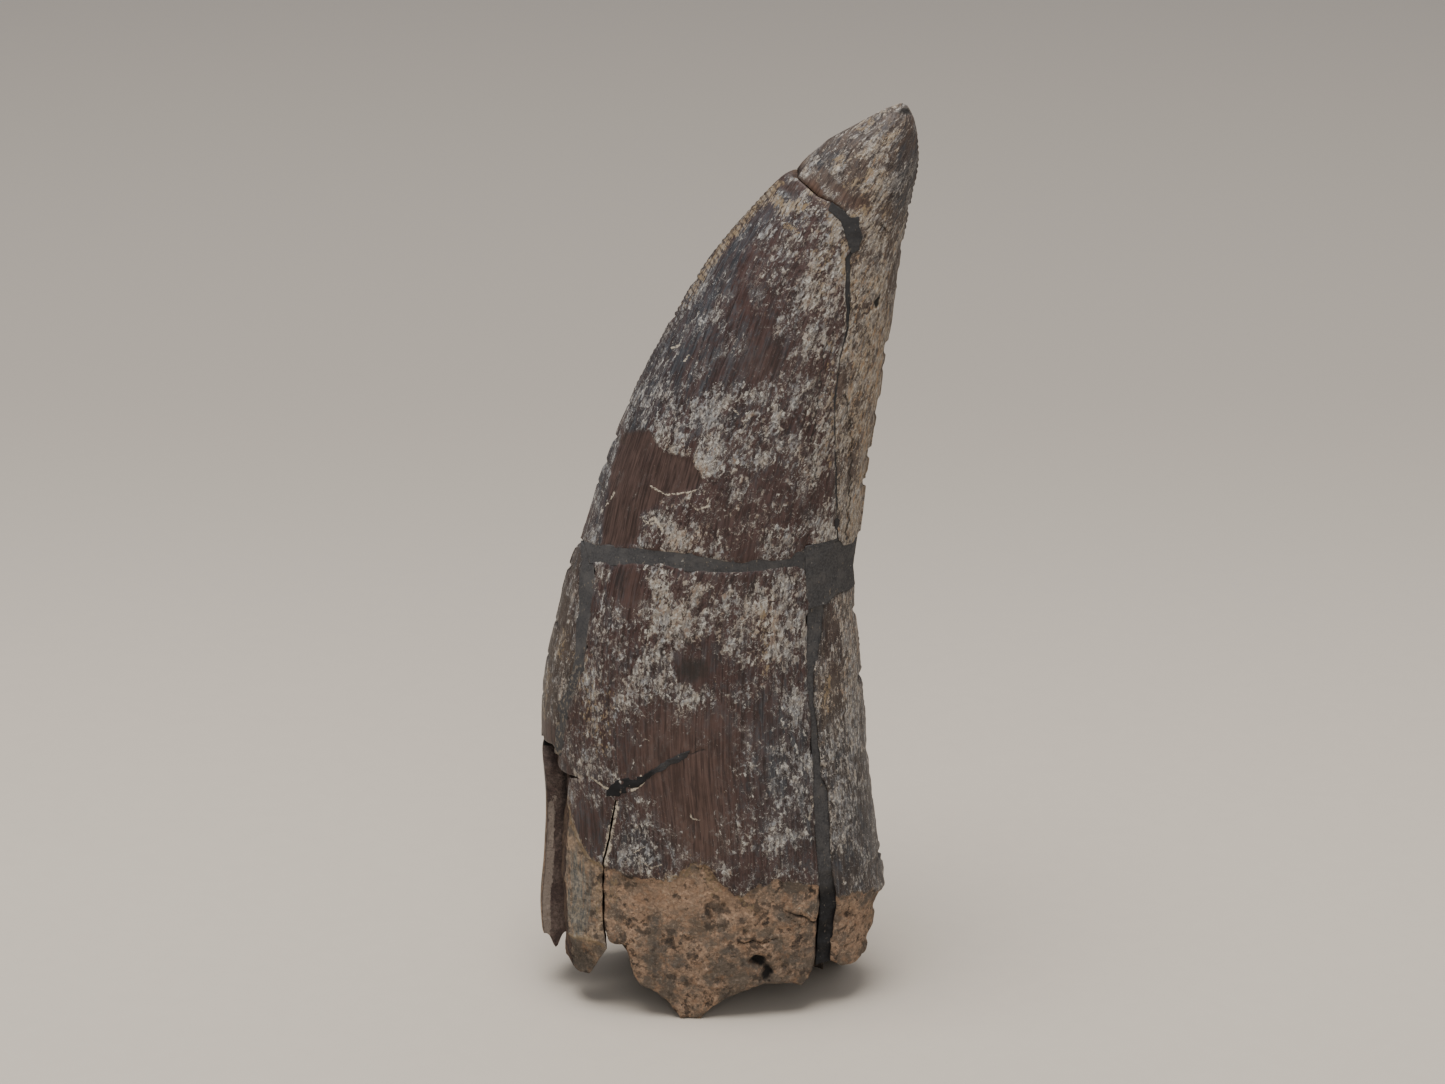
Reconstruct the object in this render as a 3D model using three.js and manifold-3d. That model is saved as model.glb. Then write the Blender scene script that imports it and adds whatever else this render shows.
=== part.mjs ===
// Fossil theropod tooth, broken in antiquity and put back together with dark putty.
// Millimetres, +Z up. The tooth stands on its broken root with the tip up.
// -X is the mesial (outer, convex) edge, +X the distal (inner) edge, -Y the cheek side, +Y the tongue side.
// The whole tooth is one lens-sectioned envelope. Every fragment is that envelope, cut by the outlines of
// its own cracks, less the pulp cavity. An outline is a list of [x, z] points carried straight through along Y.
import * as THREE from "three";
import { mergeVertices } from "three/addons/utils/BufferGeometryUtils.js";
import Module from "manifold-3d";

const wasm = await Module();
wasm.setup();

// ---- driving dimensions -------------------------------------------------------------------------------

const crownTop = 89.55; // height of the tip above the surface it stands on
const crackGap = 0.34; // air left between two fragments that meet
const puttyGap = 0.3; // air left between putty and the fragment beside it
const puttyRecess = 0.35; // how far the putty lies under the enamel
const reach = 30; // a cutting outline runs this far out, past every face of the tooth
const ringPoints = 36; // points round one section of the envelope
const sectionFullness = 2.3; // exponent of the section: 2 is an ellipse, more is boxier
const serrationPitch = 0.6; // one denticle of a cutting edge
const serrationHeight = 0.2; // how far a denticle stands out of the edge
const serrationRoot = 0.7; // how deep the serrated strip is let into the edge
const serrationThickness = 0.5;

// The two cutting edges, as [z, x].
const mesialEdge = [
  [-4, -17.6], [4, -18.0], [9, -18.3], [14, -17.9], [20, -17.6], [28, -18.0], [33, -17.6], [36.5, -17.0],
  [40.5, -16.0], [44.5, -14.9], [48.5, -13.4], [52.8, -12.2], [56.8, -10.7], [60.8, -9.1], [64.7, -7.2],
  [68.7, -5.1], [72.6, -2.9], [76.5, -0.2], [80.3, 3.0], [82.3, 4.9], [84.3, 7.1], [86.2, 9.6], [88, 12.9],
  [89, 14.7], [89.4, 15.8], [crownTop, 16.4],
];
const distalEdge = [
  [-4, 14.2], [4, 15.0], [9, 15.4], [11.2, 16.1], [13, 15.7], [16, 15.2], [20, 14.7], [25, 14.1], [30, 13.7],
  [36.5, 13.1], [40.5, 12.6], [44.5, 12.6], [48.5, 13.0], [52.8, 13.5], [56.8, 14.0], [60.8, 14.7],
  [64.7, 15.2], [68.7, 15.8], [72.6, 16.3], [76.5, 16.8], [80.3, 17.5], [82.3, 17.9], [84.3, 18.1],
  [86.2, 18.0], [88, 17.7], [89, 17.2], [89.4, 16.9], [crownTop, 16.5],
];

// Half of the tooth's thickness from cheek side to tongue side, as [z, half thickness].
const halfDepth = [
  [-4, 8.7], [0, 8.9], [5, 9.4], [15, 9.7], [28, 9.6], [40, 9.2], [50, 8.5], [60, 7.4], [70, 6.1],
  [78, 4.7], [84, 3.3], [87.5, 2.1], [89, 1.1], [crownTop, 0.3],
];

// Wall left round the pulp cavity, as [z, wall]. The cavity is open below and closes at the last level.
const cavityWall = [
  [-4, 3.0], [10, 3.2], [20, 3.7], [27, 4.6], [32, 6.0], [35.5, 7.4], [37.5, 8.6],
];

const envelopeLevels = [
  -4, 0, 3, 6, 9, 11.2, 13, 16, 20, 24, 28, 32, 36, 39, 42, 45, 48, 51, 54, 57, 60, 63, 66, 69, 72, 75,
  77.5, 80, 82, 84, 85.8, 87.2, 88.2, 89, 89.4, crownTop,
];
const cavityLevels = [-4, 3, 10, 15, 20, 24, 27, 30, 32, 34, 35.5, 37.5];

// ---- outlines of the fragments ------------------------------------------------------------------------

// The crack that parts the tip, and the long distal splinter below it, from the rest of the upper crown.
const tipCrack = [
  [6.7, 82.9], [8.6, 81.6], [11.1, 80.0], [12.3, 77.8], [11.6, 75.8], [11.7, 72.0], [11.5, 69.1],
  [10.8, 66.3], [10.4, 62.4], [10.6, 54.4], [10.9, 48.2],
];
// The cross break, where the upper crown ends above and the lower crown ends below.
const seamUpper = [
  [-13.6, 47.0], [-11.8, 47.4], [-7.8, 48.1], [-3.3, 48.1], [-1.3, 47.7], [1.8, 47.4], [5.6, 47.6], [7.6, 48.2],
];
const seamLower = [
  [-13.0, 45.9], [-8.6, 46.6], [-5.9, 46.9], [-2.8, 46.7], [3.1, 46.3], [5.7, 46.4], [7.9, 45.9],
];
// The slot between the lower crown and the distal slab, filled with putty: its two walls.
const slotMesialWall = [
  [8.0, 43.0], [8.0, 35.0], [8.3, 31.0], [8.5, 27.0], [8.9, 18.7], [9.4, 12.0], [9.1, 8.1], [9.0, 4.6],
];
const slotDistalWall = [
  [9.7, 42.1], [9.4, 38.6], [9.0, 35.9], [9.2, 32.5], [9.6, 27.8], [10.2, 23.4], [10.4, 17.9],
  [10.7, 14.7], [11.2, 11.3], [10.8, 7.4], [10.7, 4.8],
];
// The narrow slot between the lower crown and the mesial flank: its middle line.
const flankSlot = [
  [-13.2, 46.6], [-13.4, 43.5], [-13.9, 38.3], [-14.5, 35.2], [-15.4, 32.3], [-15.9, 29.5], [-16.3, 26.0],
];
const flankSlotWidth = 1.0;
// The crack round the mesial plate, from its upper distal corner down to the root.
const plateSideCrack = [
  [-10.6, 22.8], [-11.1, 19.1], [-11.8, 15.0], [-12.0, 11.0], [-11.9, 9.2], [-11.3, 7.7],
];
const plateTopCrack = [
  [-16.2, 24.5], [-14.2, 24.4], [-13.0, 24.2], [-11.9, 23.5], [-10.6, 22.8],
];
// Cracks on the tongue side.
const slabBackCrack = [
  [9.0, 45.6], [8.9, 40.0], [8.6, 34.0], [8.8, 30.0], [9.1, 26.0], [9.7, 18.0], [10.0, 12.0], [9.7, 6.0],
  [9.9, 0.0],
];
const flankBackCrack = [
  [-12.9, 45.9], [-13.4, 42.0], [-12.9, 36.0], [-13.6, 30.0], [-13.1, 25.6],
];
const wallBackCrack = [
  [-13.1, 25.6], [-12.6, 18.0], [-13.3, 10.0], [-12.9, 4.4],
];

// The broken root of the distal slab, as [y, z]: it comes down to the ground on the tongue side.
const slabRootBreak = [
  [-reach, -5], [reach, -5], [reach, 0], [4.2, 0], [3.2, 1.4], [1.4, 2.2], [-0.6, 3.9], [-3.5, 4.2],
  [-reach, 4.3],
];
const mesialBackCrack = [...flankBackCrack, ...wallBackCrack.slice(1)];

// Chips lost beside a crack and filled with putty, as the middle line of each pocket.
const tipPocket = [
  [9.9, 80.5], [11.3, 79.6], [12.1, 78.4], [12.3, 77.1], [11.8, 75.9],
];
const crackPocket = [
  [-11.3, 23.9], [-9.8, 24.8], [-8.2, 25.6], [-6.2, 26.9], [-3.8, 28.4],
];
const pocketFloor = 2.6; // the pockets end this far in front of the middle plane
const tipPocketWidths = [1.5, 1.5];
const crackPocketWidths = [1.9, 1.0];
// The hole in the root where the bone is lost.
const rootPit = [
  [2.5, 7.7], [4.5, 7.3], [4.7, 5.7], [4.0, 4.7], [3.1, 5.1], [2.5, 6.4],
];
const rootPitFloor = 7.9;

// ---- small helpers ------------------------------------------------------------------------------------

// A smooth curve through [position, value] knots: cubic pieces whose slope at a knot comes from its neighbours.
function curveThrough(knots) {
  const slope = (i) => {
    const before = knots[Math.max(i - 1, 0)];
    const after = knots[Math.min(i + 1, knots.length - 1)];
    return (after[1] - before[1]) / (after[0] - before[0]);
  };
  return (position) => {
    const last = knots.length - 2;
    const found = knots.findIndex((knot) => knot[0] > position) - 1;
    const i = found < 0 ? last : Math.min(found, last);
    const span = knots[i + 1][0] - knots[i][0];
    const t = THREE.MathUtils.clamp((position - knots[i][0]) / span, 0, 1);
    const rise = t * t * (3 - 2 * t);
    const leave = span * t * (1 - t) * (1 - t);
    const arrive = span * t * t * (t - 1);
    return knots[i][1] * (1 - rise) + knots[i + 1][1] * rise + slope(i) * leave + slope(i + 1) * arrive;
  };
}

const mesialX = curveThrough(mesialEdge);
const distalX = curveThrough(distalEdge);
const depthAt = curveThrough(halfDepth);
const wallAt = curveThrough(cavityWall);

// A closed geometry as a solid that can be cut and joined.
function solidOf(geometry) {
  const bare = geometry.clone();
  bare.deleteAttribute("normal");
  bare.deleteAttribute("uv");
  const merged = mergeVertices(bare, 1e-4);
  return new wasm.Manifold(new wasm.Mesh({
    numProp: 3,
    vertProperties: merged.attributes.position.array,
    triVerts: new Uint32Array(merged.index.array),
  }));
}

// One section of the envelope, `inset` millimetres inside its surface.
// The half depth falls from the middle to the edges as (1 - |u|^fullness)^sharpness, with u from -1 to 1 across.
function sectionRing(level, inset) {
  const middle = (mesialX(level) + distalX(level)) / 2;
  const halfWidth = Math.max((distalX(level) - mesialX(level)) / 2 - inset, 0.05);
  const depth = Math.max(depthAt(level) - inset, 0.05);
  const sharpness = 0.5 + 0.22 * THREE.MathUtils.clamp((level - 20) / 65, 0, 1);
  const ring = [];
  for (let k = 0; k < ringPoints; k++) {
    const angle = (2 * Math.PI * k) / ringPoints;
    const u = Math.cos(angle);
    const bulge = Math.pow(Math.max(1 - Math.pow(Math.abs(u), sectionFullness), 0), sharpness);
    ring.push([middle + halfWidth * u, Math.sign(Math.sin(angle)) * depth * bulge, level]);
  }
  return ring;
}

// Sections joined by walls, with a flat cap at both ends.
function loftSolid(levels, insetAt) {
  const points = [];
  for (const level of levels) points.push(...sectionRing(level, insetAt(level)).flat());
  const bottom = levels.length * ringPoints;
  const top = bottom + 1;
  const middleOf = (level) => [(mesialX(level) + distalX(level)) / 2, 0, level];
  points.push(...middleOf(levels[0]), ...middleOf(levels.at(-1)));
  const faces = [];
  for (let i = 0; i < levels.length - 1; i++) {
    for (let k = 0; k < ringPoints; k++) {
      const next = (k + 1) % ringPoints;
      const a = i * ringPoints + k;
      const b = i * ringPoints + next;
      faces.push(a, b, b + ringPoints, a, b + ringPoints, a + ringPoints);
    }
  }
  const lastRing = (levels.length - 1) * ringPoints;
  for (let k = 0; k < ringPoints; k++) {
    const next = (k + 1) % ringPoints;
    faces.push(bottom, next, k);
    faces.push(top, lastRing + k, lastRing + next);
  }
  const geometry = new THREE.BufferGeometry();
  geometry.setAttribute("position", new THREE.Float32BufferAttribute(points, 3));
  geometry.setIndex(faces);
  return solidOf(geometry);
}

// An [x, z] outline carried along Y from yFrom to yTo.
function prism(outline, yFrom = -reach, yTo = reach) {
  const corners = outline.map(([x, z]) => new THREE.Vector2(x, z));
  const shape = new THREE.Shape(corners.filter((corner, i) => !corner.equals(corners.at(i - 1))));
  const geometry = new THREE.ExtrudeGeometry(shape, { depth: yTo - yFrom, bevelEnabled: false });
  geometry.rotateX(Math.PI / 2);
  geometry.translate(0, yTo, 0);
  return solidOf(geometry);
}

// A [y, z] outline carried along X from xFrom to xTo.
function sidewaysPrism(outline, xFrom, xTo) {
  const shape = new THREE.Shape(outline.map(([y, z]) => new THREE.Vector2(y, z)));
  const geometry = new THREE.ExtrudeGeometry(shape, { depth: xTo - xFrom, bevelEnabled: false });
  geometry.rotateX(Math.PI / 2);
  geometry.rotateZ(Math.PI / 2);
  geometry.translate(xFrom, 0, 0);
  return solidOf(geometry);
}

// The outline of a band along a line of [x, z] points, whose width goes evenly from one value to another.
function bandAlong(line, firstWidth, lastWidth = firstWidth) {
  const sides = [[], []];
  line.forEach(([x, z], i) => {
    const width = THREE.MathUtils.lerp(firstWidth, lastWidth, i / (line.length - 1));
    const [x0, z0] = line[Math.max(i - 1, 0)];
    const [x1, z1] = line[Math.min(i + 1, line.length - 1)];
    const run = Math.hypot(x1 - x0, z1 - z0);
    const across = [(-(z1 - z0) / run) * (width / 2), ((x1 - x0) / run) * (width / 2)];
    sides[0].push([x + across[0], z + across[1]]);
    sides[1].push([x - across[0], z - across[1]]);
  });
  return [...sides[0], ...sides[1].reverse()];
}

const movedX = (line, dx) => line.map(([x, z]) => [x + dx, z]);
const movedZ = (line, dz) => line.map(([x, z]) => [x, z + dz]);
const backwards = (line) => [...line].reverse();

// A strip of pointed denticles along an edge curve between two heights, let into the edge by its root.
function serratedStrip(edgeX, zFrom, zTo, outward) {
  const outer = [];
  let z = zFrom;
  let isPeak = false;
  while (z < zTo) {
    const slope = edgeX(z + 0.05) - edgeX(z - 0.05);
    const length = Math.hypot(slope, 0.1);
    const normal = [(outward * 0.1) / length, (-outward * slope) / length];
    const stand = isPeak ? serrationHeight : -0.05;
    outer.push([edgeX(z) + normal[0] * stand, z + normal[1] * stand, normal]);
    z += (serrationPitch / 2) * (0.1 / length);
    isPeak = !isPeak;
  }
  const inner = backwards(outer.filter((_, i) => i % 4 === 0 || i === outer.length - 1)).map(
    ([x, zOut, normal]) => [x - normal[0] * serrationRoot, zOut - normal[1] * serrationRoot],
  );
  const outline = [...outer.map(([x, zOut]) => [x, zOut]), ...inner];
  return prism(outline, -serrationThickness / 2, serrationThickness / 2);
}

const joined = (...solids) => solids.reduce((whole, solid) => whole.add(solid));
const cut = (solid, ...tools) => tools.reduce((left, tool) => left.subtract(tool), solid);

// ---- the whole tooth ----------------------------------------------------------------------------------

const envelope = loftSolid(envelopeLevels, () => 0);
const puttyEnvelope = loftSolid(envelopeLevels, () => puttyRecess);
const cavity = loftSolid(cavityLevels, wallAt);
const rootTube = cut(envelope, cavity);
const tipCrackCut = prism(bandAlong(tipCrack, crackGap));
const tipPocketCut = prism(bandAlong(tipPocket, ...tipPocketWidths), -reach, -pocketFloor);
const crackPocketCut = prism(bandAlong(crackPocket, ...crackPocketWidths), -reach, -pocketFloor);

// ---- fragments ----------------------------------------------------------------------------------------

function tipFragment() {
  const outline = [
    [4.0, 84.4], [7.0, 84.4], ...tipCrack, [11.4, 47.4], [12.3, 47.0], [13.4, 47.7], [reach, 47.7], [reach, 95],
    [4.0, 95],
  ];
  const body = cut(envelope.intersect(prism(outline)), tipCrackCut, tipPocketCut);
  return joined(
    body,
    serratedStrip(mesialX, 84.8, 88.6, -1),
    serratedStrip(distalX, 76.5, 86.8, 1),
  );
}

function upperCrown() {
  const outline = [
    [-reach, 82.4], [3.5, 82.4], ...tipCrack, [10.6, 48.2], ...backwards(seamUpper), [-reach, 46.9],
  ];
  const body = cut(envelope.intersect(prism(outline)), tipCrackCut, tipPocketCut);
  return joined(body, serratedStrip(mesialX, 61.5, 82.0, -1));
}

function lowerCrown() {
  const cheekOutline = [
    ...seamLower, [8.0, 43.0], ...slotMesialWall.slice(1), [8.7, 3.9], [7.8, 2.9], [4.0, 3.6], [1.3, 2.6],
    [-1.0, 1.3], [-2.4, 0], [-4.3, 0], [-5.9, 1.8], [-8.4, 3.4], [-9.4, 6.0], [-9.9, 7.5], [-11.3, 7.7],
    ...backwards(plateSideCrack), ...backwards(plateTopCrack), ...backwards(flankSlot.slice(1)),
  ];
  const tongueOutline = [
    ...seamLower, ...slabBackCrack, [7.2, 0], [5.4, 1.5], [2.0, 2.3], [-2.0, 3.0], [-5.6, 1.7], [-6.6, 0],
    [-8.8, 0], [-9.7, 1.0], [-11.0, 3.0], ...backwards(wallBackCrack), ...backwards(flankBackCrack.slice(1)),
  ];
  return cut(
    rootTube.intersect(joined(prism(cheekOutline, -reach, 0), prism(tongueOutline, -0.1, reach))),
    prism(bandAlong(flankSlot, flankSlotWidth), -reach, 0.3),
    prism(bandAlong(plateSideCrack, crackGap), -reach, 0.3),
    prism(bandAlong(plateTopCrack, crackGap), -reach, 0.3),
    prism(bandAlong(slabBackCrack, crackGap), 0.2, reach),
    prism(bandAlong(mesialBackCrack, crackGap), -0.2, reach),
    crackPocketCut,
    prism(rootPit, -reach, -rootPitFloor),
  );
}

// The flake of enamel and dentine on the mesial edge, beside the upper part of the lower crown.
function mesialFlank() {
  const cheekOutline = [
    ...flankSlot.slice(1), [-17.0, 26.9], [-17.9, 26.3], [-reach, 26.3], [-reach, 45.7], [-13.3, 45.9],
  ];
  const tongueOutline = [
    ...flankBackCrack, [-15.6, 25.9], [-17.0, 26.6], [-reach, 26.3], [-reach, 45.7],
  ];
  return cut(
    rootTube.intersect(joined(prism(cheekOutline, -reach, 0.5), prism(tongueOutline, 0.34, reach))),
    prism(bandAlong(flankSlot, flankSlotWidth), -reach, 0.34),
    prism(bandAlong(mesialBackCrack, crackGap), -0.2, reach),
    prism(bandAlong(seamLower, crackGap)),
  );
}

// The plate on the lower mesial side of the cheek face, with a stub of root below it.
function mesialPlate() {
  const outline = [
    ...plateTopCrack, ...plateSideCrack.slice(1), [-12.8, 5.2], [-13.7, 3.6], [-14.7, 3.4], [-15.7, 4.2],
    [-15.7, 7.0], [-16.0, 8.5], [-16.2, 13.2], [-16.0, 17.0], [-15.5, 21.1],
  ];
  return cut(
    rootTube.intersect(prism(outline, -reach, -2.0)),
    prism(bandAlong(plateSideCrack, crackGap), -reach, 0.3),
    prism(bandAlong(plateTopCrack, crackGap), -reach, 0.3),
    crackPocketCut,
  );
}

// The thin wall of the mesial edge below the flank: its broken front shows the inner face.
function mesialWall() {
  const cheekOutline = [
    [-reach, 23.6], [-17.4, 23.6], [-16.6, 24.1], [-13.7, 24.0], [-13.7, 6.0], [-reach, 6.0],
  ];
  const tongueOutline = [
    [-reach, 23.6], [-17.4, 23.6], [-16.6, 24.7], [-15.0, 25.4], ...wallBackCrack, [-14.5, 4.6],
    [-16.5, 5.4], [-17.4, 6.2], [-reach, 7.9],
  ];
  return cut(
    rootTube.intersect(joined(prism(cheekOutline, -1.6, 0.4), prism(tongueOutline, 0.3, reach))),
    prism(bandAlong(mesialBackCrack, crackGap), -0.2, reach),
  );
}

// The slab of the distal edge, beside the putty slot, with a lump of root below its enamel.
function distalSlab() {
  const cheekOutline = [
    [reach, 42.2], [12.3, 42.4], [10.7, 42.8], ...slotDistalWall, [11.9, 4.1], [13.1, 4.0], [14.1, 4.6],
    [14.7, 6.4], [15.1, 8.5], [reach, 9.4],
  ];
  const tongueOutline = [
    [reach, 42.2], [12.3, 42.4], ...slabBackCrack, [12.2, 0], [13.4, 1.9], [14.2, 4.4], [15.0, 8.5],
    [reach, 9.4],
  ];
  const body = cut(
    rootTube.intersect(joined(prism(cheekOutline, -reach, 0.4), prism(tongueOutline, 0.3, reach))),
    prism(bandAlong(slabBackCrack, crackGap), 0.2, reach),
    sidewaysPrism(slabRootBreak, 0, reach),
  );
  return joined(body, serratedStrip(distalX, 29.5, 37.5, 1));
}

// ---- putty --------------------------------------------------------------------------------------------

// The putty of the cross break is a disc right through the tooth, with a rib down each slot of the cheek side.
function seamPutty() {
  const disc = [
    [-reach, 46.6], ...movedZ(seamUpper, -puttyGap), [10.6, 47.9], [11.3, 47.1], [12.3, 46.7], [13.4, 47.3],
    [reach, 47.3],
  ];
  const discBelow = [...backwards(movedZ(seamLower, puttyGap)), [-14.0, 46.3], [-reach, 46.3]];
  const cheekDisc = [...disc, [reach, 42.6], [12.3, 42.8], [10.7, 43.2], [8.3, 42.6], [8.2, 45.0], ...discBelow];
  const tongueDisc = [...disc, [reach, 42.7], [12.5, 42.9], [9.4, 46.0], ...discBelow];
  const distalRib = [
    [8.3, 43.6], ...movedX(slotMesialWall.slice(1), puttyGap), ...backwards(movedX(slotDistalWall, -puttyGap)),
    [9.4, 43.4],
  ];
  const flankRib = bandAlong(flankSlot, flankSlotWidth - 2 * puttyGap);
  const cheekSide = joined(
    prism(cheekDisc, -reach, -0.45),
    prism(distalRib, -reach, -0.45),
    prism(flankRib, -reach, -0.45),
  );
  return cut(puttyEnvelope.intersect(joined(cheekSide, prism(tongueDisc, -0.5, reach))), cavity);
}

function pocketPutty(line, widths) {
  const outline = bandAlong(line, ...widths.map((width) => width - 2 * puttyGap));
  return puttyEnvelope.intersect(prism(outline, -reach, -pocketFloor - puttyGap));
}

const material = (colour, roughness) => new THREE.MeshStandardMaterial({ color: colour, roughness, metalness: 0 });

const tooth = new THREE.Group();

function addPiece(name, solid, finish) {
  const mesh = solid.getMesh();
  const geometry = new THREE.BufferGeometry();
  geometry.setAttribute("position", new THREE.BufferAttribute(mesh.vertProperties.slice(), 3));
  geometry.setIndex(new THREE.BufferAttribute(mesh.triVerts.slice(), 1));
  geometry.computeVertexNormals();
  const piece = new THREE.Mesh(geometry, finish);
  piece.name = name;
  tooth.add(piece);
}

addPiece("tip_fragment", tipFragment(), material(0x8c7a64, 0.75));
addPiece("upper_crown", upperCrown(), material(0x4d3b36, 0.5));
addPiece("lower_crown", lowerCrown(), material(0x5a463c, 0.6));
addPiece("mesial_flank", mesialFlank(), material(0x6a5a4a, 0.6));
addPiece("mesial_plate", mesialPlate(), material(0x6a5540, 0.65));
addPiece("mesial_wall", mesialWall(), material(0x4a352b, 0.6));
addPiece("distal_slab", distalSlab(), material(0x74695c, 0.6));
addPiece("seam_putty", seamPutty(), material(0x3e3f41, 0.9));
addPiece("tip_putty", pocketPutty(tipPocket, tipPocketWidths), material(0x3e3f41, 0.9));
addPiece("crack_putty", pocketPutty(crackPocket, crackPocketWidths), material(0x3e3f41, 0.9));

export default tooth;
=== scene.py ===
import math
import bpy
import numpy as np
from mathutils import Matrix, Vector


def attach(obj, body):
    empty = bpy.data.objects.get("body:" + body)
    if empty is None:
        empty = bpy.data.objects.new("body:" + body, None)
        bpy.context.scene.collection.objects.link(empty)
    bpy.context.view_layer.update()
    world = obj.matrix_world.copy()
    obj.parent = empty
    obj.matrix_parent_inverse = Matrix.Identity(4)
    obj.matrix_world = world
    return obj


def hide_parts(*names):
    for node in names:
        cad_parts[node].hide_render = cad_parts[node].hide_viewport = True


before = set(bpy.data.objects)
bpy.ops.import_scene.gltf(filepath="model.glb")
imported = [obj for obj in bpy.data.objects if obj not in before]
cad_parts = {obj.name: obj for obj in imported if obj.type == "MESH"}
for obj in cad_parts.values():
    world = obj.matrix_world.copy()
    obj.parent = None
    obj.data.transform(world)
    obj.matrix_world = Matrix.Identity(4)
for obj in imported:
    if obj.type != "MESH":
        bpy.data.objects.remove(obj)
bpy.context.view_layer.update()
scene = bpy.context.scene
mm = 0.001

# Everything below is worked out in millimetres and put into the meshes in metres.
# -X is the mesial (convex) edge, +X the distal edge, -Y the cheek side, Z is up.

print("camera")
cameraSetting = dict(lens=103.6, place=(-0.2, -378.2, 176.7), tiltDown=19.0)


def addCamera(s):
    data = bpy.data.cameras.new("camera")
    data.lens = s["lens"]
    data.sensor_width = 36
    data.clip_start = 0.01
    data.clip_end = 20
    seen = bpy.data.objects.new("camera", data)
    seen.location = [v * mm for v in s["place"]]
    seen.rotation_euler = (math.radians(90 - s["tiltDown"]), 0, 0)
    scene.collection.objects.link(seen)
    scene.camera = seen


addCamera(cameraSetting)

print("envelope of the tooth")
crownTop = 89.55

# The two cutting edges as [z, x], the half thickness as [z, half], and the wall round the pulp cavity as [z, wall].
mesialEdge = [
    [-4, -17.6], [4, -18.0], [9, -18.3], [14, -17.9], [20, -17.6], [28, -18.0], [33, -17.6], [36.5, -17.0],
    [40.5, -16.0], [44.5, -14.9], [48.5, -13.4], [52.8, -12.2], [56.8, -10.7], [60.8, -9.1], [64.7, -7.2],
    [68.7, -5.1], [72.6, -2.9], [76.5, -0.2], [80.3, 3.0], [82.3, 4.9], [84.3, 7.1], [86.2, 9.6], [88, 12.9],
    [89, 14.7], [89.4, 15.8], [crownTop, 16.4],
]
distalEdge = [
    [-4, 14.2], [4, 15.0], [9, 15.4], [11.2, 16.1], [13, 15.7], [16, 15.2], [20, 14.7], [25, 14.1], [30, 13.7],
    [36.5, 13.1], [40.5, 12.6], [44.5, 12.6], [48.5, 13.0], [52.8, 13.5], [56.8, 14.0], [60.8, 14.7], [64.7, 15.2],
    [68.7, 15.8], [72.6, 16.3], [76.5, 16.8], [80.3, 17.5], [82.3, 17.9], [84.3, 18.1], [86.2, 18.0], [88, 17.7],
    [89, 17.2], [89.4, 16.9], [crownTop, 16.5],
]
halfDepth = [
    [-4, 8.7], [0, 8.9], [5, 9.4], [15, 9.7], [28, 9.6], [40, 9.2], [50, 8.5], [60, 7.4], [70, 6.1],
    [78, 4.7], [84, 3.3], [87.5, 2.1], [89, 1.1], [crownTop, 0.3],
]
cavityWall = [[-4, 3.0], [10, 3.2], [20, 3.7], [27, 4.6], [32, 6.0], [35.5, 7.4], [37.5, 8.6]]
cavityTop = 37.5
section = dict(fullness=2.3, sharpness=0.5, sharper=0.22, sharperFrom=20, sharperOver=65)


def curveThrough(knots):
    # cubic pieces through the knots, each knot's slope taken from its neighbours
    place, value = np.array(knots, float).T
    ends = np.arange(len(place))
    before, after = np.maximum(ends - 1, 0), np.minimum(ends + 1, len(place) - 1)
    slope = (value[after] - value[before]) / (place[after] - place[before])

    def at(where):
        i = np.clip(np.searchsorted(place, where, side="right") - 1, 0, len(place) - 2)
        span = place[i + 1] - place[i]
        t = np.clip((where - place[i]) / span, 0, 1)
        rise = t * t * (3 - 2 * t)
        leave, arrive = span * t * (1 - t) ** 2, span * t * t * (t - 1)
        return value[i] * (1 - rise) + value[i + 1] * rise + slope[i] * leave + slope[i + 1] * arrive

    return at


mesialX, distalX = curveThrough(mesialEdge), curveThrough(distalEdge)
depthAt, wallAt = curveThrough(halfDepth), curveThrough(cavityWall)


def acrossAt(x, z, inset=0.0):
    # -1 at the mesial edge of the section at this height, 1 at the distal edge
    low, high = mesialX(z), distalX(z)
    return np.clip((x - (low + high) / 2) / np.maximum((high - low) / 2 - inset, 0.05), -1, 1)


def skinDepth(x, z, inset=0.0):
    # half thickness of the section: depth * (1 - |u|^fullness)^sharpness, sharper towards the tip
    sharpness = section["sharpness"] + section["sharper"] * np.clip(
        (z - section["sharperFrom"]) / section["sharperOver"], 0, 1)
    bulge = np.maximum(1 - np.abs(acrossAt(x, z, inset)) ** section["fullness"], 0) ** sharpness
    return np.maximum(depthAt(z) - inset, 0.05) * bulge


def cavityDepth(x, z):
    # half thickness of the pulp cavity, nothing above its top
    return np.where(z < cavityTop, skinDepth(x, z, wallAt(np.minimum(z, cavityTop))), 0)


print("helpers")

hashPrimes = (374761393, 668265263, 1274126177, 974634777)
seedShift = 7.31


def randomCell(cell, seed):
    # a repeatable number from -1 to 1 for each whole-number cell
    h = (sum(cell[..., k] * hashPrimes[k] for k in range(3)) + seed * hashPrimes[3]) & 0xFFFFFFFF
    h = ((h ^ (h >> 13)) * hashPrimes[2]) & 0xFFFFFFFF
    return ((h ^ (h >> 16)) & 0xFFFF) / 32767.5 - 1


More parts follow.
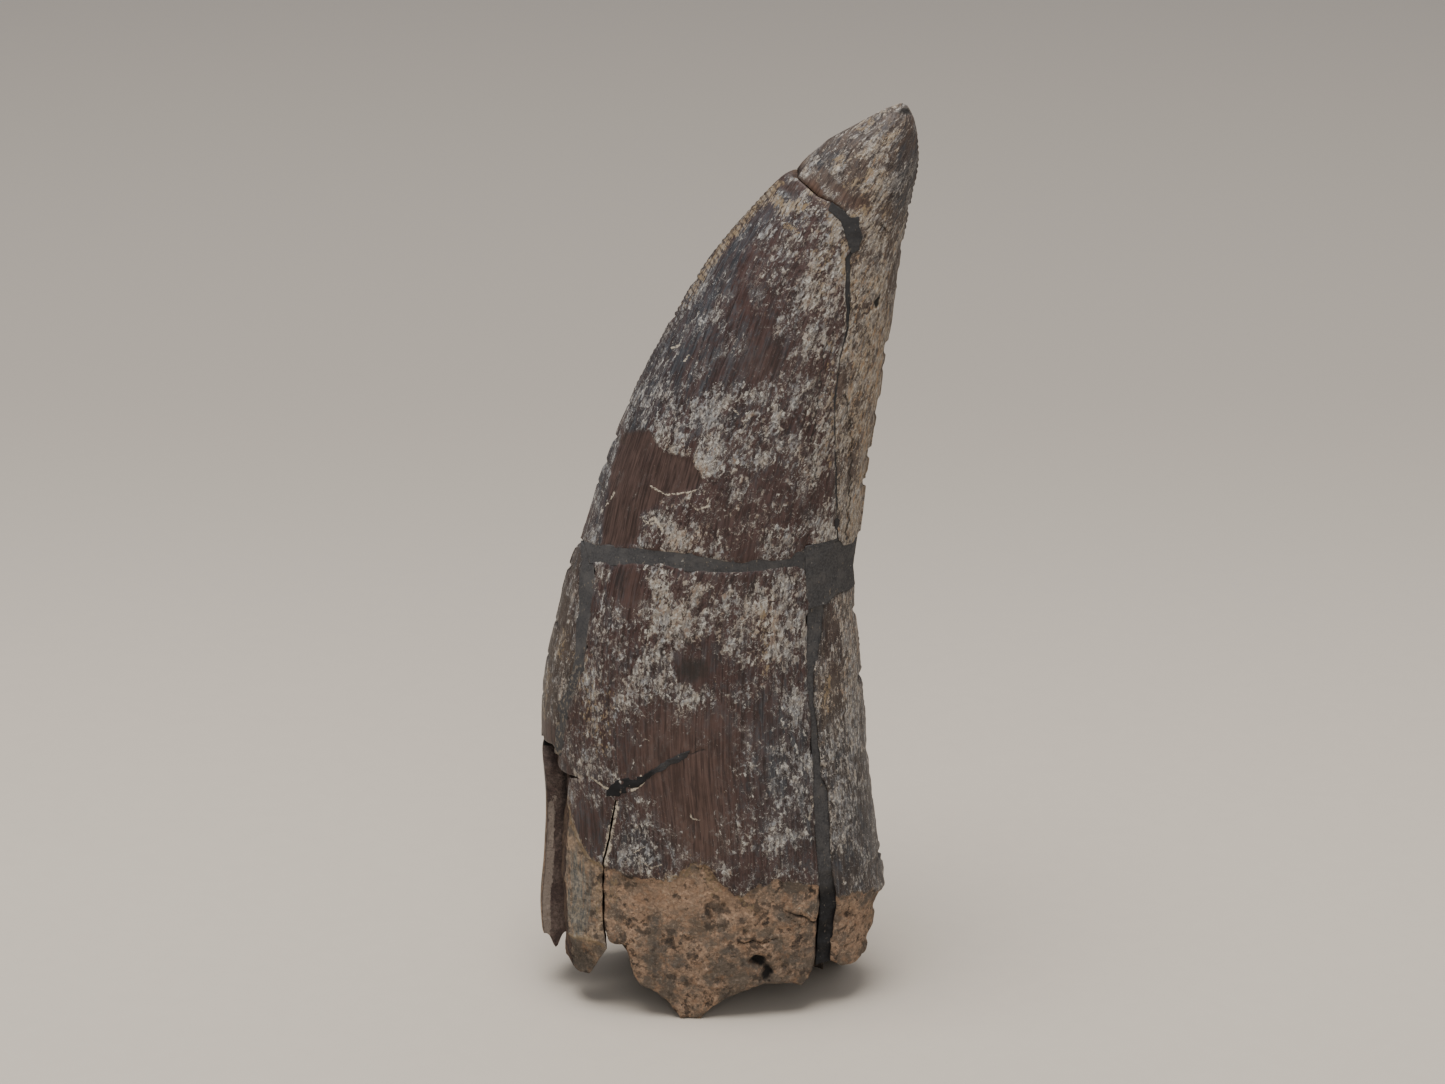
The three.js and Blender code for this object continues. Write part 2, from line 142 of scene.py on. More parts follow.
def roughField(points, period, octaves=3, seed=1):
    # fractal value noise from -1 to 1: each octave has half the period and half the height of the last
    total, height, reached = 0, 1.0, 0.0
    for octave in range(octaves):
        q = points / np.array(period) * 2**octave + seed * seedShift
        cell = np.floor(q).astype(np.int64)
        f = q - cell
        f = f * f * (3 - 2 * f)
        value = 0
        for corner in range(8):
            step = np.array([corner & 1, corner >> 1 & 1, corner >> 2])
            value = value + np.prod(np.where(step == 1, f, 1 - f), axis=-1) * randomCell(cell + step, seed + octave)
        total = total + height * value
        reached += height
        height *= 0.5
    return total / reached


def smoothStep(low, high, value):
    t = np.clip((value - low) / (high - low), 0, 1)
    return t * t * (3 - 2 * t)


def bell(distance, width):
    return np.exp(-((distance / width) ** 2))


def nearLine(x, z, line):
    # distance in the xz plane to the nearest segment of a line
    best = np.full(np.shape(x), 1e9)
    for (ax, az), (bx, bz) in zip(line[:-1], line[1:]):
        dx, dz = bx - ax, bz - az
        t = np.clip(((x - ax) * dx + (z - az) * dz) / (dx * dx + dz * dz + 1e-12), 0, 1)
        best = np.minimum(best, np.hypot(x - ax - t * dx, z - az - t * dz))
    return best


def nearest(x, z, lines, limit=9.0):
    # distance to the nearest of several lines, no more than a limit
    return np.minimum.reduce([np.full(np.shape(x), limit), *[nearLine(x, z, line) for line in lines]])


def strongest(x, z, marks):
    # the largest of several bells along lines, each (line, width, amount)
    return np.maximum.reduce([amount * bell(nearLine(x, z, line), width) for line, width, amount in marks])


def withinOutline(x, z, outline):
    # signed distance to a closed outline, positive inside it
    inside = np.zeros(np.shape(x), bool)
    closed = list(outline) + [outline[0]]
    for (ax, az), (bx, bz) in zip(closed[:-1], closed[1:]):
        crossing = ax + (bx - ax) * (z - az) / (bz - az if bz != az else 1e-9)
        inside ^= ((az > z) != (bz > z)) & (x < crossing)
    return np.where(inside, 1, -1) * nearLine(x, z, closed)


def softPatches(x, z, patches):
    # sum of soft ellipses, each (x, z, half width, half height, turn, amount), falling off as a bell
    total = np.zeros(np.shape(x))
    for cx, cz, rx, rz, turn, amount in patches:
        c, s = math.cos(math.radians(turn)), math.sin(math.radians(turn))
        a, b = ((x - cx) * c + (z - cz) * s) / rx, ((z - cz) * c - (x - cx) * s) / rz
        total = total + amount * np.exp(-((a * a + b * b) ** 1.5))
    return total


def lengthAlong(points, acrossWeight=1.0):
    # distance from the start of a line, counting sideways steps at a weight
    steps = np.hypot(np.diff(points[:, 0]) * acrossWeight, np.diff(points[:, 1]))
    return np.concatenate([[0], np.cumsum(steps)])


def rightOf(points):
    # unit steps to the right of a line's own direction
    run = np.gradient(points, axis=0)
    run /= np.maximum(np.hypot(run[:, 0], run[:, 1]), 1e-9)[:, None]
    return np.stack([run[:, 1], -run[:, 0]], -1)


def spreadAlong(line, shares, acrossWeight=1.0):
    # points of a line at shares of its length from 0 to 1
    line = np.array(line, float)
    length = lengthAlong(line, acrossWeight)
    return np.stack([np.interp(shares, length / length[-1], line[:, k]) for k in (0, 1)], -1)


def beside(line, distance):
    # a line moved sideways, to the right of its own direction
    points = np.array(line, float)
    return points + np.reshape(distance, (-1, 1)) * rightOf(points)


def raggedLine(points, height, period, seed):
    # a line of points moved sideways by noise along its length, with both ends left where they are
    length = lengthAlong(points)
    spot = np.stack([length, np.zeros_like(length), np.zeros_like(length)], -1)
    shift = roughField(spot, period, 4, seed) * height
    shift *= smoothStep(0, 0.6, length) * smoothStep(0, 0.6, length[-1] - length)
    return points - shift[:, None] * rightOf(points)


def serratedLine(points, outward, zFrom, zTo):
    # rounded denticles standing out of an edge between two heights, as |sin| along its length
    inRange = smoothStep(zFrom, zFrom + 1.5, points[:, 1]) * smoothStep(zTo, zTo - 1.5, points[:, 1])
    wave = np.abs(np.sin(np.pi * lengthAlong(points) / denticle["pitch"])) ** 0.7 - 0.6
    return points + (outward * denticle["height"] * wave * inRange)[:, None] * rightOf(points)


def fillSides(sides):
    # Coons patch: the four sides, joined in the corners, blended so that the grid meets each one exactly
    left, right, bottom, top = (sides[k] for k in ("left", "right", "bottom", "top"))
    bottom[0], bottom[-1], top[0], top[-1] = left[0], right[0], left[-1], right[-1]
    a = np.linspace(0, 1, len(bottom))[None, :, None]
    b = np.linspace(0, 1, len(left))[:, None, None]
    lr = (1 - a) * left[:, None] + a * right[:, None]
    bt = (1 - b) * bottom[None] + b * top[None]
    corners = (1 - b) * ((1 - a) * bottom[0] + a * bottom[-1]) + b * ((1 - a) * top[0] + a * top[-1])
    return lr + bt - corners


def easedShares(count, easeStart, easeEnd):
    # shares from 0 to 1 that crowd together at an end whose ease is over 1
    t = np.linspace(0, 1, count)
    start, end = t**easeStart, 1 - (1 - t) ** easeEnd
    return start * (1 - t) + end * t if easeStart > 1 and easeEnd > 1 else (start if easeStart > 1 else end)


def skinNormals(grid, outwardY):
    # the envelope's normal from its own slope, taken over a small step each way
    x, z, step = grid[..., 0], grid[..., 2], 0.15
    slopeX = (skinDepth(x + step, z) - skinDepth(x - step, z)) / (2 * step)
    slopeZ = (skinDepth(x, z + step) - skinDepth(x, z - step)) / (2 * step)
    normal = np.stack([-slopeX, np.full_like(x, outwardY), -slopeZ], -1)
    return normal / np.linalg.norm(normal, axis=-1, keepdims=True)


def rimOf(rows, columns):
    # indices round the edge of a grid, anticlockwise seen from its face
    index = np.arange(rows * columns).reshape(rows, columns)
    return np.concatenate([index[0, :-1], index[:-1, -1], index[-1, :0:-1], index[:0:-1, 0]])


def gridQuads(rows, columns, start, outward):
    index = start + np.arange(rows * columns).reshape(rows, columns)
    quads = np.stack([index[:-1, :-1], index[:-1, 1:], index[1:, 1:], index[1:, :-1]], -1).reshape(-1, 4)
    return quads if outward else quads[:, ::-1]


def bandQuads(first, second):
    return np.stack([first, second, np.roll(second, -1), np.roll(first, -1)], -1)


def closedBlock(front, back, fineLayers, coarseLayers, rimRoughness, seed):
    # A closed block between two grids of the same size: the front kept whole, the back at half its density,
    # and their edges joined by layers of points, of which the first few are as fine as the front.
    rows, columns = front.shape[:2]
    frontPoints, backPoints = front.reshape(-1, 3), back[::2, ::2].reshape(-1, 3)
    rim = rimOf(rows, columns)
    edgeFront, edgeBack = frontPoints[rim], back.reshape(-1, 3)[rim]
    thick = np.linalg.norm(edgeBack - edgeFront, axis=1)
    along = np.roll(edgeFront, -2, axis=0) - np.roll(edgeFront, 2, axis=0)
    out = np.cross(edgeBack - edgeFront, along)
    out /= np.maximum(np.linalg.norm(out, axis=1, keepdims=True), 1e-9)
    layers = fineLayers + coarseLayers
    shares = 0.5 - 0.5 * np.cos(np.pi * np.arange(1, layers + 1) / (layers + 1))
    parts, inner, faces = [frontPoints], [np.zeros(len(frontPoints))], [gridQuads(rows, columns, 0, True)]
    start, lastRing = len(frontPoints), rim
    for layer, share in enumerate(shares):
        ring = edgeFront + (edgeBack - edgeFront) * share
        rough = roughField(ring, (1.6, 1.6, 1.6), 4, seed) * rimRoughness * np.minimum(thick / 3, 1)
        ring = ring + out * (rough * math.sin(math.pi * share) ** 0.4)[:, None]
        fine = layer < fineLayers
        points = ring if fine else ring[::2]
        index = start + np.arange(len(points))
        if fine or len(lastRing) == len(points):
            faces.append(bandQuads(lastRing, index))
        else:
            faces.append(stitched(lastRing, index))
        parts.append(points)
        inner.append(np.minimum(thick if fine else thick[::2], 0.6) / 0.6)
        start, lastRing = start + len(points), index
    backRows, backColumns = (rows + 1) // 2, (columns + 1) // 2
    faces.append(bandQuads(lastRing, start + rimOf(backRows, backColumns)))
    faces.append(gridQuads(backRows, backColumns, start, False))
    parts.append(backPoints)
    inner.append(np.zeros(len(backPoints)))
    side = np.concatenate([np.zeros(len(frontPoints)), *[np.full(len(p), s) for p, s in zip(parts[1:-1], shares)],
                           np.ones(len(backPoints))])
    return np.concatenate(parts), faces, np.concatenate(inner), side


def stitched(fine, coarse):
    # three triangles for each pair of fine steps and its one coarse step
    f0, f1, f2 = fine[0::2], fine[1::2], np.roll(fine, -2)[0::2]
    c0, c1 = coarse, np.roll(coarse, -1)
    return np.concatenate([np.stack(t, -1) for t in [(f0, c0, f1), (c0, c1, f1), (c1, f2, f1)]])


def addPiece(name, points, faces, values, material, node):
    mesh = bpy.data.meshes.new(name)
    corners = np.concatenate([f.ravel() for f in faces]).astype(np.int32)
    sizes = np.concatenate([np.full(len(f), f.shape[1]) for f in faces])
    mesh.vertices.add(len(points))
    mesh.vertices.foreach_set("co", (points * mm).astype(np.float32).ravel())
    mesh.loops.add(len(corners))
    mesh.loops.foreach_set("vertex_index", corners)
    mesh.polygons.add(len(sizes))
    mesh.polygons.foreach_set("loop_start", np.concatenate([[0], np.cumsum(sizes)[:-1]]).astype(np.int32))
    mesh.update(calc_edges=True)
    for key, value in values.items():
        layer = mesh.attributes.new(key, "FLOAT_VECTOR", "POINT")
        layer.data.foreach_set("vector", value.astype(np.float32).ravel())
    mesh.polygons.foreach_set("use_smooth", np.ones(len(sizes), bool))
    mesh.materials.append(material)
    piece = bpy.data.objects.new(name, mesh)
    scene.collection.objects.link(piece)
    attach(piece, "root")
    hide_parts(node)
    print("  ", name, int(np.sum(sizes - 2)), "triangles")


print("shader groups")
bumpDistance = 0.0001


class Wire:
    # a node's output that can stand in a sum; each step adds a math node
    def __init__(self, maker, socket):
        self.maker, self.socket = maker, socket

    def __add__(self, other):
        return self.maker.math("ADD", self, other)

    def __sub__(self, other):
        return self.maker.math("SUBTRACT", self, other)

    def __rsub__(self, other):
        return self.maker.math("SUBTRACT", other, self)

    def __mul__(self, other):
        return self.maker.math("MULTIPLY", self, other)

    def __truediv__(self, other):
        return self.maker.math("DIVIDE", self, other)

    def __rtruediv__(self, other):
        return self.maker.math("DIVIDE", other, self)


class NodeMaker:
    # short names for the nodes used here; an input may be a wire or a plain value
    def __init__(self, tree):
        self.tree = tree

    def join(self, value, socket):
        if isinstance(value, Wire):
            self.tree.links.new(value.socket, socket)
        else:
            socket.default_value = (*value, 1) if socket.type == "RGBA" else value

    def put(self, kind, inputs=(), **settings):
        node = self.tree.nodes.new(kind)
        for key, value in settings.items():
            setattr(node, key, value)
        for key, value in dict(inputs).items():
            self.join(value, node.inputs[key])
        wires = {}
        for k, socket in enumerate(node.outputs):
            wires[k] = wires[socket.name] = Wire(self, socket)
        return wires

    def place(self, group, **inputs):
        return self.put("ShaderNodeGroup", inputs, node_tree=group)

    def math(self, operation, a, b=0.5, clamp=False):
        return self.put("ShaderNodeMath", {0: a, 1: b}, operation=operation, use_clamp=clamp)[0]

    def vectorMath(self, operation, a, b):
        return self.put("ShaderNodeVectorMath", {0: a, 1: b}, operation=operation)

    def stretch(self, vector, factors, shift=(0, 0, 0)):
        return self.put("ShaderNodeMapping", {"Vector": vector, "Scale": factors, "Location": shift})[0]

    def noise(self, vector, scale, detail=3.0, roughness=0.55, factors=None, shift=(0, 0, 0)):
        if factors:
            vector = self.stretch(vector, factors, shift)
        return self.put("ShaderNodeTexNoise", {"Vector": vector, "Scale": scale, "Detail": detail,
                                               "Roughness": roughness})["Fac"]

    def ramp(self, value, low, high, outLow=0.0, outHigh=1.0, kind="SMOOTHSTEP"):
        return self.put("ShaderNodeMapRange", {0: value, 1: low, 2: high, 3: outLow, 4: outHigh},
                        interpolation_type=kind)[0]

    def blend(self, share, first, second):
        return self.put("ShaderNodeMix", {0: share, 6: first, 7: second}, data_type="RGBA")[2]

    def cover(self, colour, *coats):
        # lays each (share, colour) over what is there
        for share, coat in coats:
            colour = self.blend(share, colour, coat)
        return colour

    def attribute(self, name):
        return self.put("ShaderNodeAttribute", attribute_name=name)["Vector"]

    def parts(self, vector):
        separate = self.put("ShaderNodeSeparateXYZ", {0: vector})
        return [separate[k] for k in range(3)]

    def surface(self, inputs, height=None, strength=1.0):
        if height:
            inputs["Normal"] = self.put("ShaderNodeBump", {"Height": height, "Strength": strength,
                                                           "Distance": bumpDistance})[0]
        shader = self.put("ShaderNodeBsdfPrincipled", inputs)
        self.put("ShaderNodeOutputMaterial", {0: shader[0]})


def newGroup(name, inputs, build):
    # inputs give the kind and first value of each socket; build gets the sockets and returns the outputs by name
    tree = bpy.data.node_groups.new(name, "ShaderNodeTree")
    for label, (kind, value) in inputs.items():
        socket = tree.interface.new_socket(label, in_out="INPUT", socket_type="NodeSocket" + kind)
        if value is not None:
            socket.default_value = (*value, 1) if kind == "Color" else value
    n = NodeMaker(tree)
    made = build(n, n.put("NodeGroupInput"))
    for label, wire in made.items():
        kind = "Color" if wire.socket.type == "RGBA" else "Float"
        tree.interface.new_socket(label, in_out="OUTPUT", socket_type="NodeSocket" + kind)
    n.put("NodeGroupOutput", made)
    return tree


def newMaterial(name):
    material = bpy.data.materials.new(name)
    material.use_nodes = True
    material.node_tree.nodes.clear()
    return material, NodeMaker(material.node_tree)


def growthLineNodes(n, s):
    # Fine lines along the growth of the enamel: noise drawn out along the second grain coordinate. Line runs from
    # dark to light, Hair marks the thin darkest lines.
    grain, rate = s["Grain"], s["Lines per mm"]
    fine = n.noise(grain, rate, 2.0, 0.7, (1, 0.03, 1))
    cloud = n.noise(grain, 1.0, 5.0, 0.7, (0.9, 0.4, 1))
    hair = n.noise(grain, rate, 3.0, 0.6, (0.55, 0.03, 1), (4, 2, 0))
    gaps = n.noise(grain, 1.0, 2.0, 0.5, (1.2, 0.5, 1), (8, 2, 0))
    return dict(Line=n.ramp(fine * 0.66 + cloud * 0.34, 0.36, 0.64),
                Hair=n.ramp(hair, 0.36, 0.44, 1.0, 0.0) * n.ramp(gaps, 0.40, 0.55))


def bloomNodes(n, s):
    # Pale mineral flecks: noise bent by a coarser noise and cut at a level that the coverage sets. Upright strokes,
    # crumbs and clumps make the flecks, a finer noise the dust between them, and ridges of noise the thin threads.
    grain, coverage, soft = s["Grain"], s["Coverage"], s["Softness"]
    rate = 1.0 / s["Fleck width"]
    bend = n.put("ShaderNodeTexNoise", {"Vector": grain, "Scale": 1.9, "Detail": 3.0})["Color"]
    bend = n.vectorMath("MULTIPLY", n.vectorMath("SUBTRACT", bend, (0.5, 0.5, 0.5))[0], (0.9, 1.0, 0))[0]
    moved = n.vectorMath("ADD", grain, bend)[0]

    strokes = n.noise(grain, rate, 3.0, 0.65, (0.80, 0.26, 0.6))
    crumbs = n.noise(moved, rate, 4.0, 0.69, (0.90, 0.50, 1))
    clumps = n.noise(moved, 1.0, 4.0, 0.62, (0.50, 0.32, 1), (7, 3, 0))
    value = strokes * 0.24 + crumbs * 0.44 + clumps * 0.32
    level = n.ramp(coverage, 0, 1, 0.625, 0.385, "LINEAR")
    flecks = n.ramp(value, level - soft, level + soft)
    dust = n.noise(moved, rate, 3.0, 0.65, (1.9, 1.1, 1), (5, 0, 2)) * 0.62 + clumps * 0.38
    dust = n.ramp(dust, level + 0.015, level + 0.05)

    ridge = n.math("ABSOLUTE", n.noise(moved, 1.6, 2.0, 0.5, (0.9, 0.55, 1), (3, 5, 0)) - 0.5)
    scratch = n.math("ABSOLUTE", n.noise(moved, 2.3, 2.0, 0.5, (1.0, 0.75, 1), (8, 6, 3)) - 0.5)
    thread = n.math("MAXIMUM", n.ramp(ridge, 0.005, 0.016, 1.0, 0.0) * n.ramp(clumps, 0.50, 0.58),
                    n.ramp(scratch, 0.007, 0.020, 0.9, 0.0) * n.ramp(crumbs, 0.50, 0.56))
    thread = thread * n.ramp(coverage, 0.08, 0.34)
    mask = n.math("MAXIMUM", flecks, n.math("MAXIMUM", dust * 0.7, thread))
    tone = n.noise(grain, 1.0, 5.0, 0.75, (1.3, 0.6, 1), (3, 9, 5))
    pale = n.noise(moved, rate, 3.0, 0.7, (1.1, 0.8, 1), (9, 1, 2))
    return dict(Mask=mask, Tone=n.ramp(tone, 0.34, 0.66), Pale=n.ramp(pale, 0.52, 0.60),
                Relief=n.math("MAXIMUM", n.ramp(value, level - 0.01, level + 0.09), mask * 0.4),
                Veil=n.ramp(clumps * 0.55 + crumbs * 0.45, level - 0.09, level + 0.02))


def boneNodes(n, s):
    # Weathered root bone: broad stains, grains and dark pits, all from noise of the position in millimetres.
    place, rate = s["Place"], 1.0 / s["Grain size"]
    pits = n.noise(place, rate, 4.0, 0.7, (0.6, 0.6, 0.6), (2, 6, 4)) * 0.55 + n.noise(place, 0.5, 3.0, 0.6) * 0.45
    return dict(Stain=n.ramp(n.noise(place, 0.5, 5.0, 0.68), 0.42, 0.58), Pits=n.ramp(pits, 0.55, 0.60),
                Grain=n.ramp(n.noise(place, rate, 4.0, 0.75, (1, 1, 1), (5, 1, 8)), 0.38, 0.62),
                Specks=n.ramp(n.noise(place, rate, 3.0, 0.7, (1.2, 1.2, 1.2), (9, 3, 1)), 0.56, 0.64))


def denticleNodes(n, s):
    # Dark ticks between the denticles of the mesial edge: a sine along the direction in which the edge leans, broken
    # up by noise.
    lean = n.vectorMath("DOT_PRODUCT", s["Place"], (0.57, 0, 0.82))["Value"]
    wave = n.math("SINE", lean / s["Pitch"] * (2 * math.pi)) + (n.noise(s["Place"], 1.6, 3.0, 0.6) - 0.5) * 4.5
    return dict(Mask=n.ramp(wave, 0.1, 0.9) * n.ramp(s["Row"], 0.25, 0.6))


growthLines = newGroup("growth lines", {"Grain": ("Vector", None), "Lines per mm": ("Float", 3.0)}, growthLineNodes)
mineralBloom = newGroup("mineral bloom", {"Grain": ("Vector", None), "Coverage": ("Float", 0.4),
                                          "Fleck width": ("Float", 0.3), "Softness": ("Float", 0.02)}, bloomNodes)
rootBone = newGroup("root bone", {"Place": ("Vector", None), "Grain size": ("Float", 0.3)}, boneNodes)
denticleTicks = newGroup("denticle ticks", {"Place": ("Vector", None), "Row": ("Float", 0.0),
                                            "Pitch": ("Float", 0.6)}, denticleNodes)

print("materials")

denticle = dict(pitch=0.6, height=0.16)
enamelFinish = dict(
    linesPerMm=4.8, denticlePitch=denticle["pitch"], fleckWidth=0.29, fleckSoftness=0.013, grainSize=0.36,
    veilShare=0.30, roughness=0.48,
    enamelDark=(0.030, 0.015, 0.013), enamelLight=(0.070, 0.040, 0.036), slateDark=(0.020, 0.021, 0.025),
    slateLight=(0.060, 0.063, 0.071), bareDark=(0.026, 0.015, 0.0125), bareLight=(0.082, 0.050, 0.042),
    veil=(0.115, 0.098, 0.092), hair=(0.020, 0.012, 0.011),
    fleckCool=(0.25, 0.255, 0.265), fleckWarm=(0.375, 0.322, 0.262), fleckDeep=(0.115, 0.098, 0.085),
    fleckPale=(0.52, 0.50, 0.45), fleckRust=(0.24, 0.155, 0.10), ochreDark=(0.085, 0.058, 0.038),
    ochreLight=(0.25, 0.182, 0.105), streak=(0.072, 0.080, 0.083), streakPale=(0.23, 0.20, 0.155),
    boneOlive=(0.150, 0.120, 0.093), boneTan=(0.43, 0.285, 0.19), boneDark=(0.075, 0.055, 0.042),
    boneRust=(0.33, 0.19, 0.11), boneAsh=(0.105, 0.094, 0.082), boneSmudge=(0.062, 0.048, 0.038),
    # the dirt colour also paints shade into cracks, pits, the slot beside the flank and hidden hollows
    bonePit=(0.024, 0.021, 0.020), boneLight=(0.42, 0.33, 0.24), lip=(0.50, 0.44, 0.35), dirt=(0.016, 0.014, 0.013),
    breakDark=(0.045, 0.026, 0.021), breakLight=(0.15, 0.096, 0.066),
)
enamelSheen = dict(specular=0.32, bump=0.8)


def toothSkinNodes(n, s):
    # Enamel with growth lines and mineral bloom on the skin, bone where the enamel has gone, dentine in the breaks.
    # marks holds bloom, warmth and bareness; wear holds bone, dirt with painted shade, and crack lips; cuts holds the
    # broken faces, the ochre stains, and a row that is grey streaks on the root and the denticles of the mesial edge.
    grain, place = s["grain"], s["place"]
    bloom, warmth, bare = n.parts(s["marks"])
    boneShare, dirt, lips = n.parts(s["wear"])
    broken, ochre, row = n.parts(s["cuts"])
    lines = n.place(growthLines, **{"Grain": grain, "Lines per mm": s["linesPerMm"]})
    flecks = n.place(mineralBloom, **{"Grain": grain, "Coverage": bloom, "Fleck width": s["fleckWidth"],
                                      "Softness": s["fleckSoftness"]})
    bone = n.place(rootBone, **{"Place": place, "Grain size": s["grainSize"]})
    ticks = n.place(denticleTicks, Place=place, Row=row, Pitch=s["denticlePitch"])
    line, mask, tone = lines["Line"], flecks["Mask"], flecks["Tone"]
    shade = n.noise(grain, 1.0, 4.0, 0.7, (3.4, 1.7, 1), (1, 4, 0))

    # the flecks' own colour
    rust = n.noise(grain, 1.0, 4.0, 0.7, (1.9, 0.9, 1), (6, 2, 8)) + warmth * 0.20
    fleck = n.cover(
        n.blend(n.math("ADD", warmth, (tone - 0.5) * 1.3, clamp=True), s["fleckCool"], s["fleckWarm"]),
        (n.ramp(shade, 0.40, 0.62, 0.0, 0.75), s["fleckDeep"]), (flecks["Pale"] * 0.85, s["fleckPale"]),
        (n.ramp(rust, 0.665, 0.755, 0.0, 0.6), s["fleckRust"]))

    # enamel, cool slate on it, with the painted edge reflection, bare polished places, and the bloom over them
    drift = n.noise(grain, 1.0, 5.0, 0.75, (1.7, 0.5, 1), (2, 7, 3))
    slateAndReflection = n.math("ADD", (0.30 - warmth) * 1.5, n.ramp(drift, 0.44, 0.62, 0.0, 0.8), clamp=True)
    pockShape = n.ramp(n.noise(grain, 1.0, 4.0, 0.75, (2.6, 1.3, 1), (11, 4, 6)), 0.55, 0.62)
    pocks = pockShape * n.ramp(bloom, 0.15, 0.45)
    ochreMask = n.ramp(ochre + (shade - 0.5) * 2.4, 0.40, 0.62) * 0.8
    ochreTone = n.cover(s["ochreLight"], (n.ramp(tone, 0.3, 0.9, 0.0, 0.6), s["fleckWarm"]),
                        (pockShape, s["ochreDark"]))
    colour = n.cover(
        n.blend(line, s["enamelDark"], s["enamelLight"]),
        (slateAndReflection, n.blend(line, s["slateDark"], s["slateLight"])), (bare, n.blend(line, s["bareDark"], s["bareLight"])),
        (flecks["Veil"] * s["veilShare"], s["veil"]), (mask * 0.95, fleck), (ochreMask, ochreTone),
        (n.math("MAXIMUM", lines["Hair"] * (0.75 - mask * 0.35), pocks * 0.8), s["hair"]),
        (ticks["Mask"] * 0.62, s["hair"]))

    # root bone, ending in a ragged edge, with grey fibres and ochre on it
    stain = n.math("ADD", bone["Stain"], (warmth - 0.36) * 1.6, clamp=True)
    rusty = n.ramp(n.noise(place, 0.85, 4.0, 0.7, (1, 1, 0.8), (7, 7, 1)), 0.52, 0.64)
    ashen = n.ramp(n.noise(place, 0.6, 5.0, 0.72, (1, 1, 0.8), (1, 5, 9)), 0.52, 0.62)
    smudge = n.ramp(n.noise(place, 0.75, 3.0, 0.62, (1, 1, 1), (6, 2, 3)), 0.555, 0.64, 0.0, 0.78)
    pitted = n.ramp(warmth, 0.45, 0.85, 0.72, 0.32) * n.ramp(warmth, 0.1, 0.4, 0.6, 1.0)
    fibres = n.noise(grain, 1.0, 4.0, 0.7, (2.4, 0.22, 1), (3, 3, 0))
    grey = n.ramp(row + (fibres - 0.5) * 2.2, 0.35, 0.75) * n.ramp(row, 0.02, 0.2)
    boneColour = n.cover(
        n.blend(stain, s["boneOlive"], s["boneTan"]), (rusty * 0.55, s["boneRust"]),
        (ashen * n.ramp(warmth, 0.35, 0.8, 0.75, 0.15), s["boneAsh"]), (bone["Grain"] * 0.45, s["boneDark"]),
        (bone["Specks"] * n.ramp(warmth, 0.15, 0.6, 0.25, 0.5), s["boneLight"]), (smudge, s["boneSmudge"]),
        (bone["Pits"] * pitted, s["bonePit"]),
        (grey * 0.85, n.blend(n.ramp(shade, 0.38, 0.62), s["streakPale"], s["streak"])),
        (ochreMask * 0.8, s["ochreLight"]))
    ragged = n.noise(place, 1.3, 6.0, 0.72, (1, 1, 1), (4, 4, 4)) - 0.5
    boneEdge = n.ramp(boneShare + ragged * 1.7, 0.40, 0.60)

    # dentine in the breaks, crack lips, and dirt with painted shade over everything
    dentine = n.cover(n.blend(stain, s["breakDark"], s["breakLight"]), (bone["Grain"] * 0.5, s["bonePit"]))
    crumbs = n.noise(place, 3.2, 4.0, 0.75) - 0.5
    lip = n.ramp(lips + crumbs * 1.6, 0.5, 0.72)
    colour = n.cover(colour, (boneEdge, boneColour), (broken, dentine), (lip * 0.85, s["lip"]),
                     (n.ramp(dirt + crumbs * 0.5, 0.2, 0.8), s["dirt"]))
    inner = n.math("MAXIMUM", boneEdge, broken)
    height = line * 0.12 - lines["Hair"] * 0.15 + flecks["Relief"] * 0.8 - pocks * 0.5
    height = height + (bone["Grain"] * 1.2 - bone["Pits"] * 1.8) * inner + lip * 0.4
    return dict(Colour=colour, Roughness=n.math("MAXIMUM", s["roughness"] + mask * 0.2, inner * 0.88), Height=height)


toothSkin = newGroup("tooth skin", dict.fromkeys(("grain", "place", "marks", "wear", "cuts"), ("Vector", None)) | {
    k: ("Color" if isinstance(v, tuple) else "Float", v) for k, v in enamelFinish.items()}, toothSkinNodes)


def toothMaterial(name, **changes):
    material, n = newMaterial(name)
    fields = {k: n.attribute(k) for k in ("grain", "marks", "wear", "cuts")}
    fields["place"] = n.stretch(n.put("ShaderNodeTexCoord")["Object"], (1 / mm,) * 3)
    skin = n.place(toothSkin, **fields, **dict(enamelFinish, **changes))
    n.surface({"Base Color": skin["Colour"], "Roughness": skin["Roughness"],
               "Specular IOR Level": enamelSheen["specular"]}, skin["Height"], enamelSheen["bump"])
    return material


tipEnamel = toothMaterial(
    "tip enamel", fleckWidth=0.27, fleckCool=(0.27, 0.26, 0.255), fleckWarm=(0.39, 0.31, 0.215),
    fleckPale=(0.50, 0.46, 0.40), fleckRust=(0.32, 0.18, 0.08), enamelDark=(0.044, 0.030, 0.024),
    enamelLight=(0.105, 0.075, 0.059), slateDark=(0.026, 0.028, 0.033), bareDark=(0.052, 0.028, 0.020),
    bareLight=(0.125, 0.074, 0.054))
darkEnamel = toothMaterial("dark striated enamel", fleckWidth=0.33)
mottledEnamel = toothMaterial("mottled enamel", linesPerMm=5.6, fleckWidth=0.37, bareDark=(0.038, 0.0205, 0.0165),
                              bareLight=(0.098, 0.058, 0.047))
flankEnamel = toothMaterial("flank enamel", enamelDark=(0.030, 0.020, 0.016), enamelLight=(0.075, 0.055, 0.043))
plateEnamel = toothMaterial("plate enamel", boneOlive=(0.175, 0.145, 0.115), boneTan=(0.43, 0.31, 0.21),
                            streak=(0.085, 0.097, 0.10), streakPale=(0.27, 0.24, 0.19))
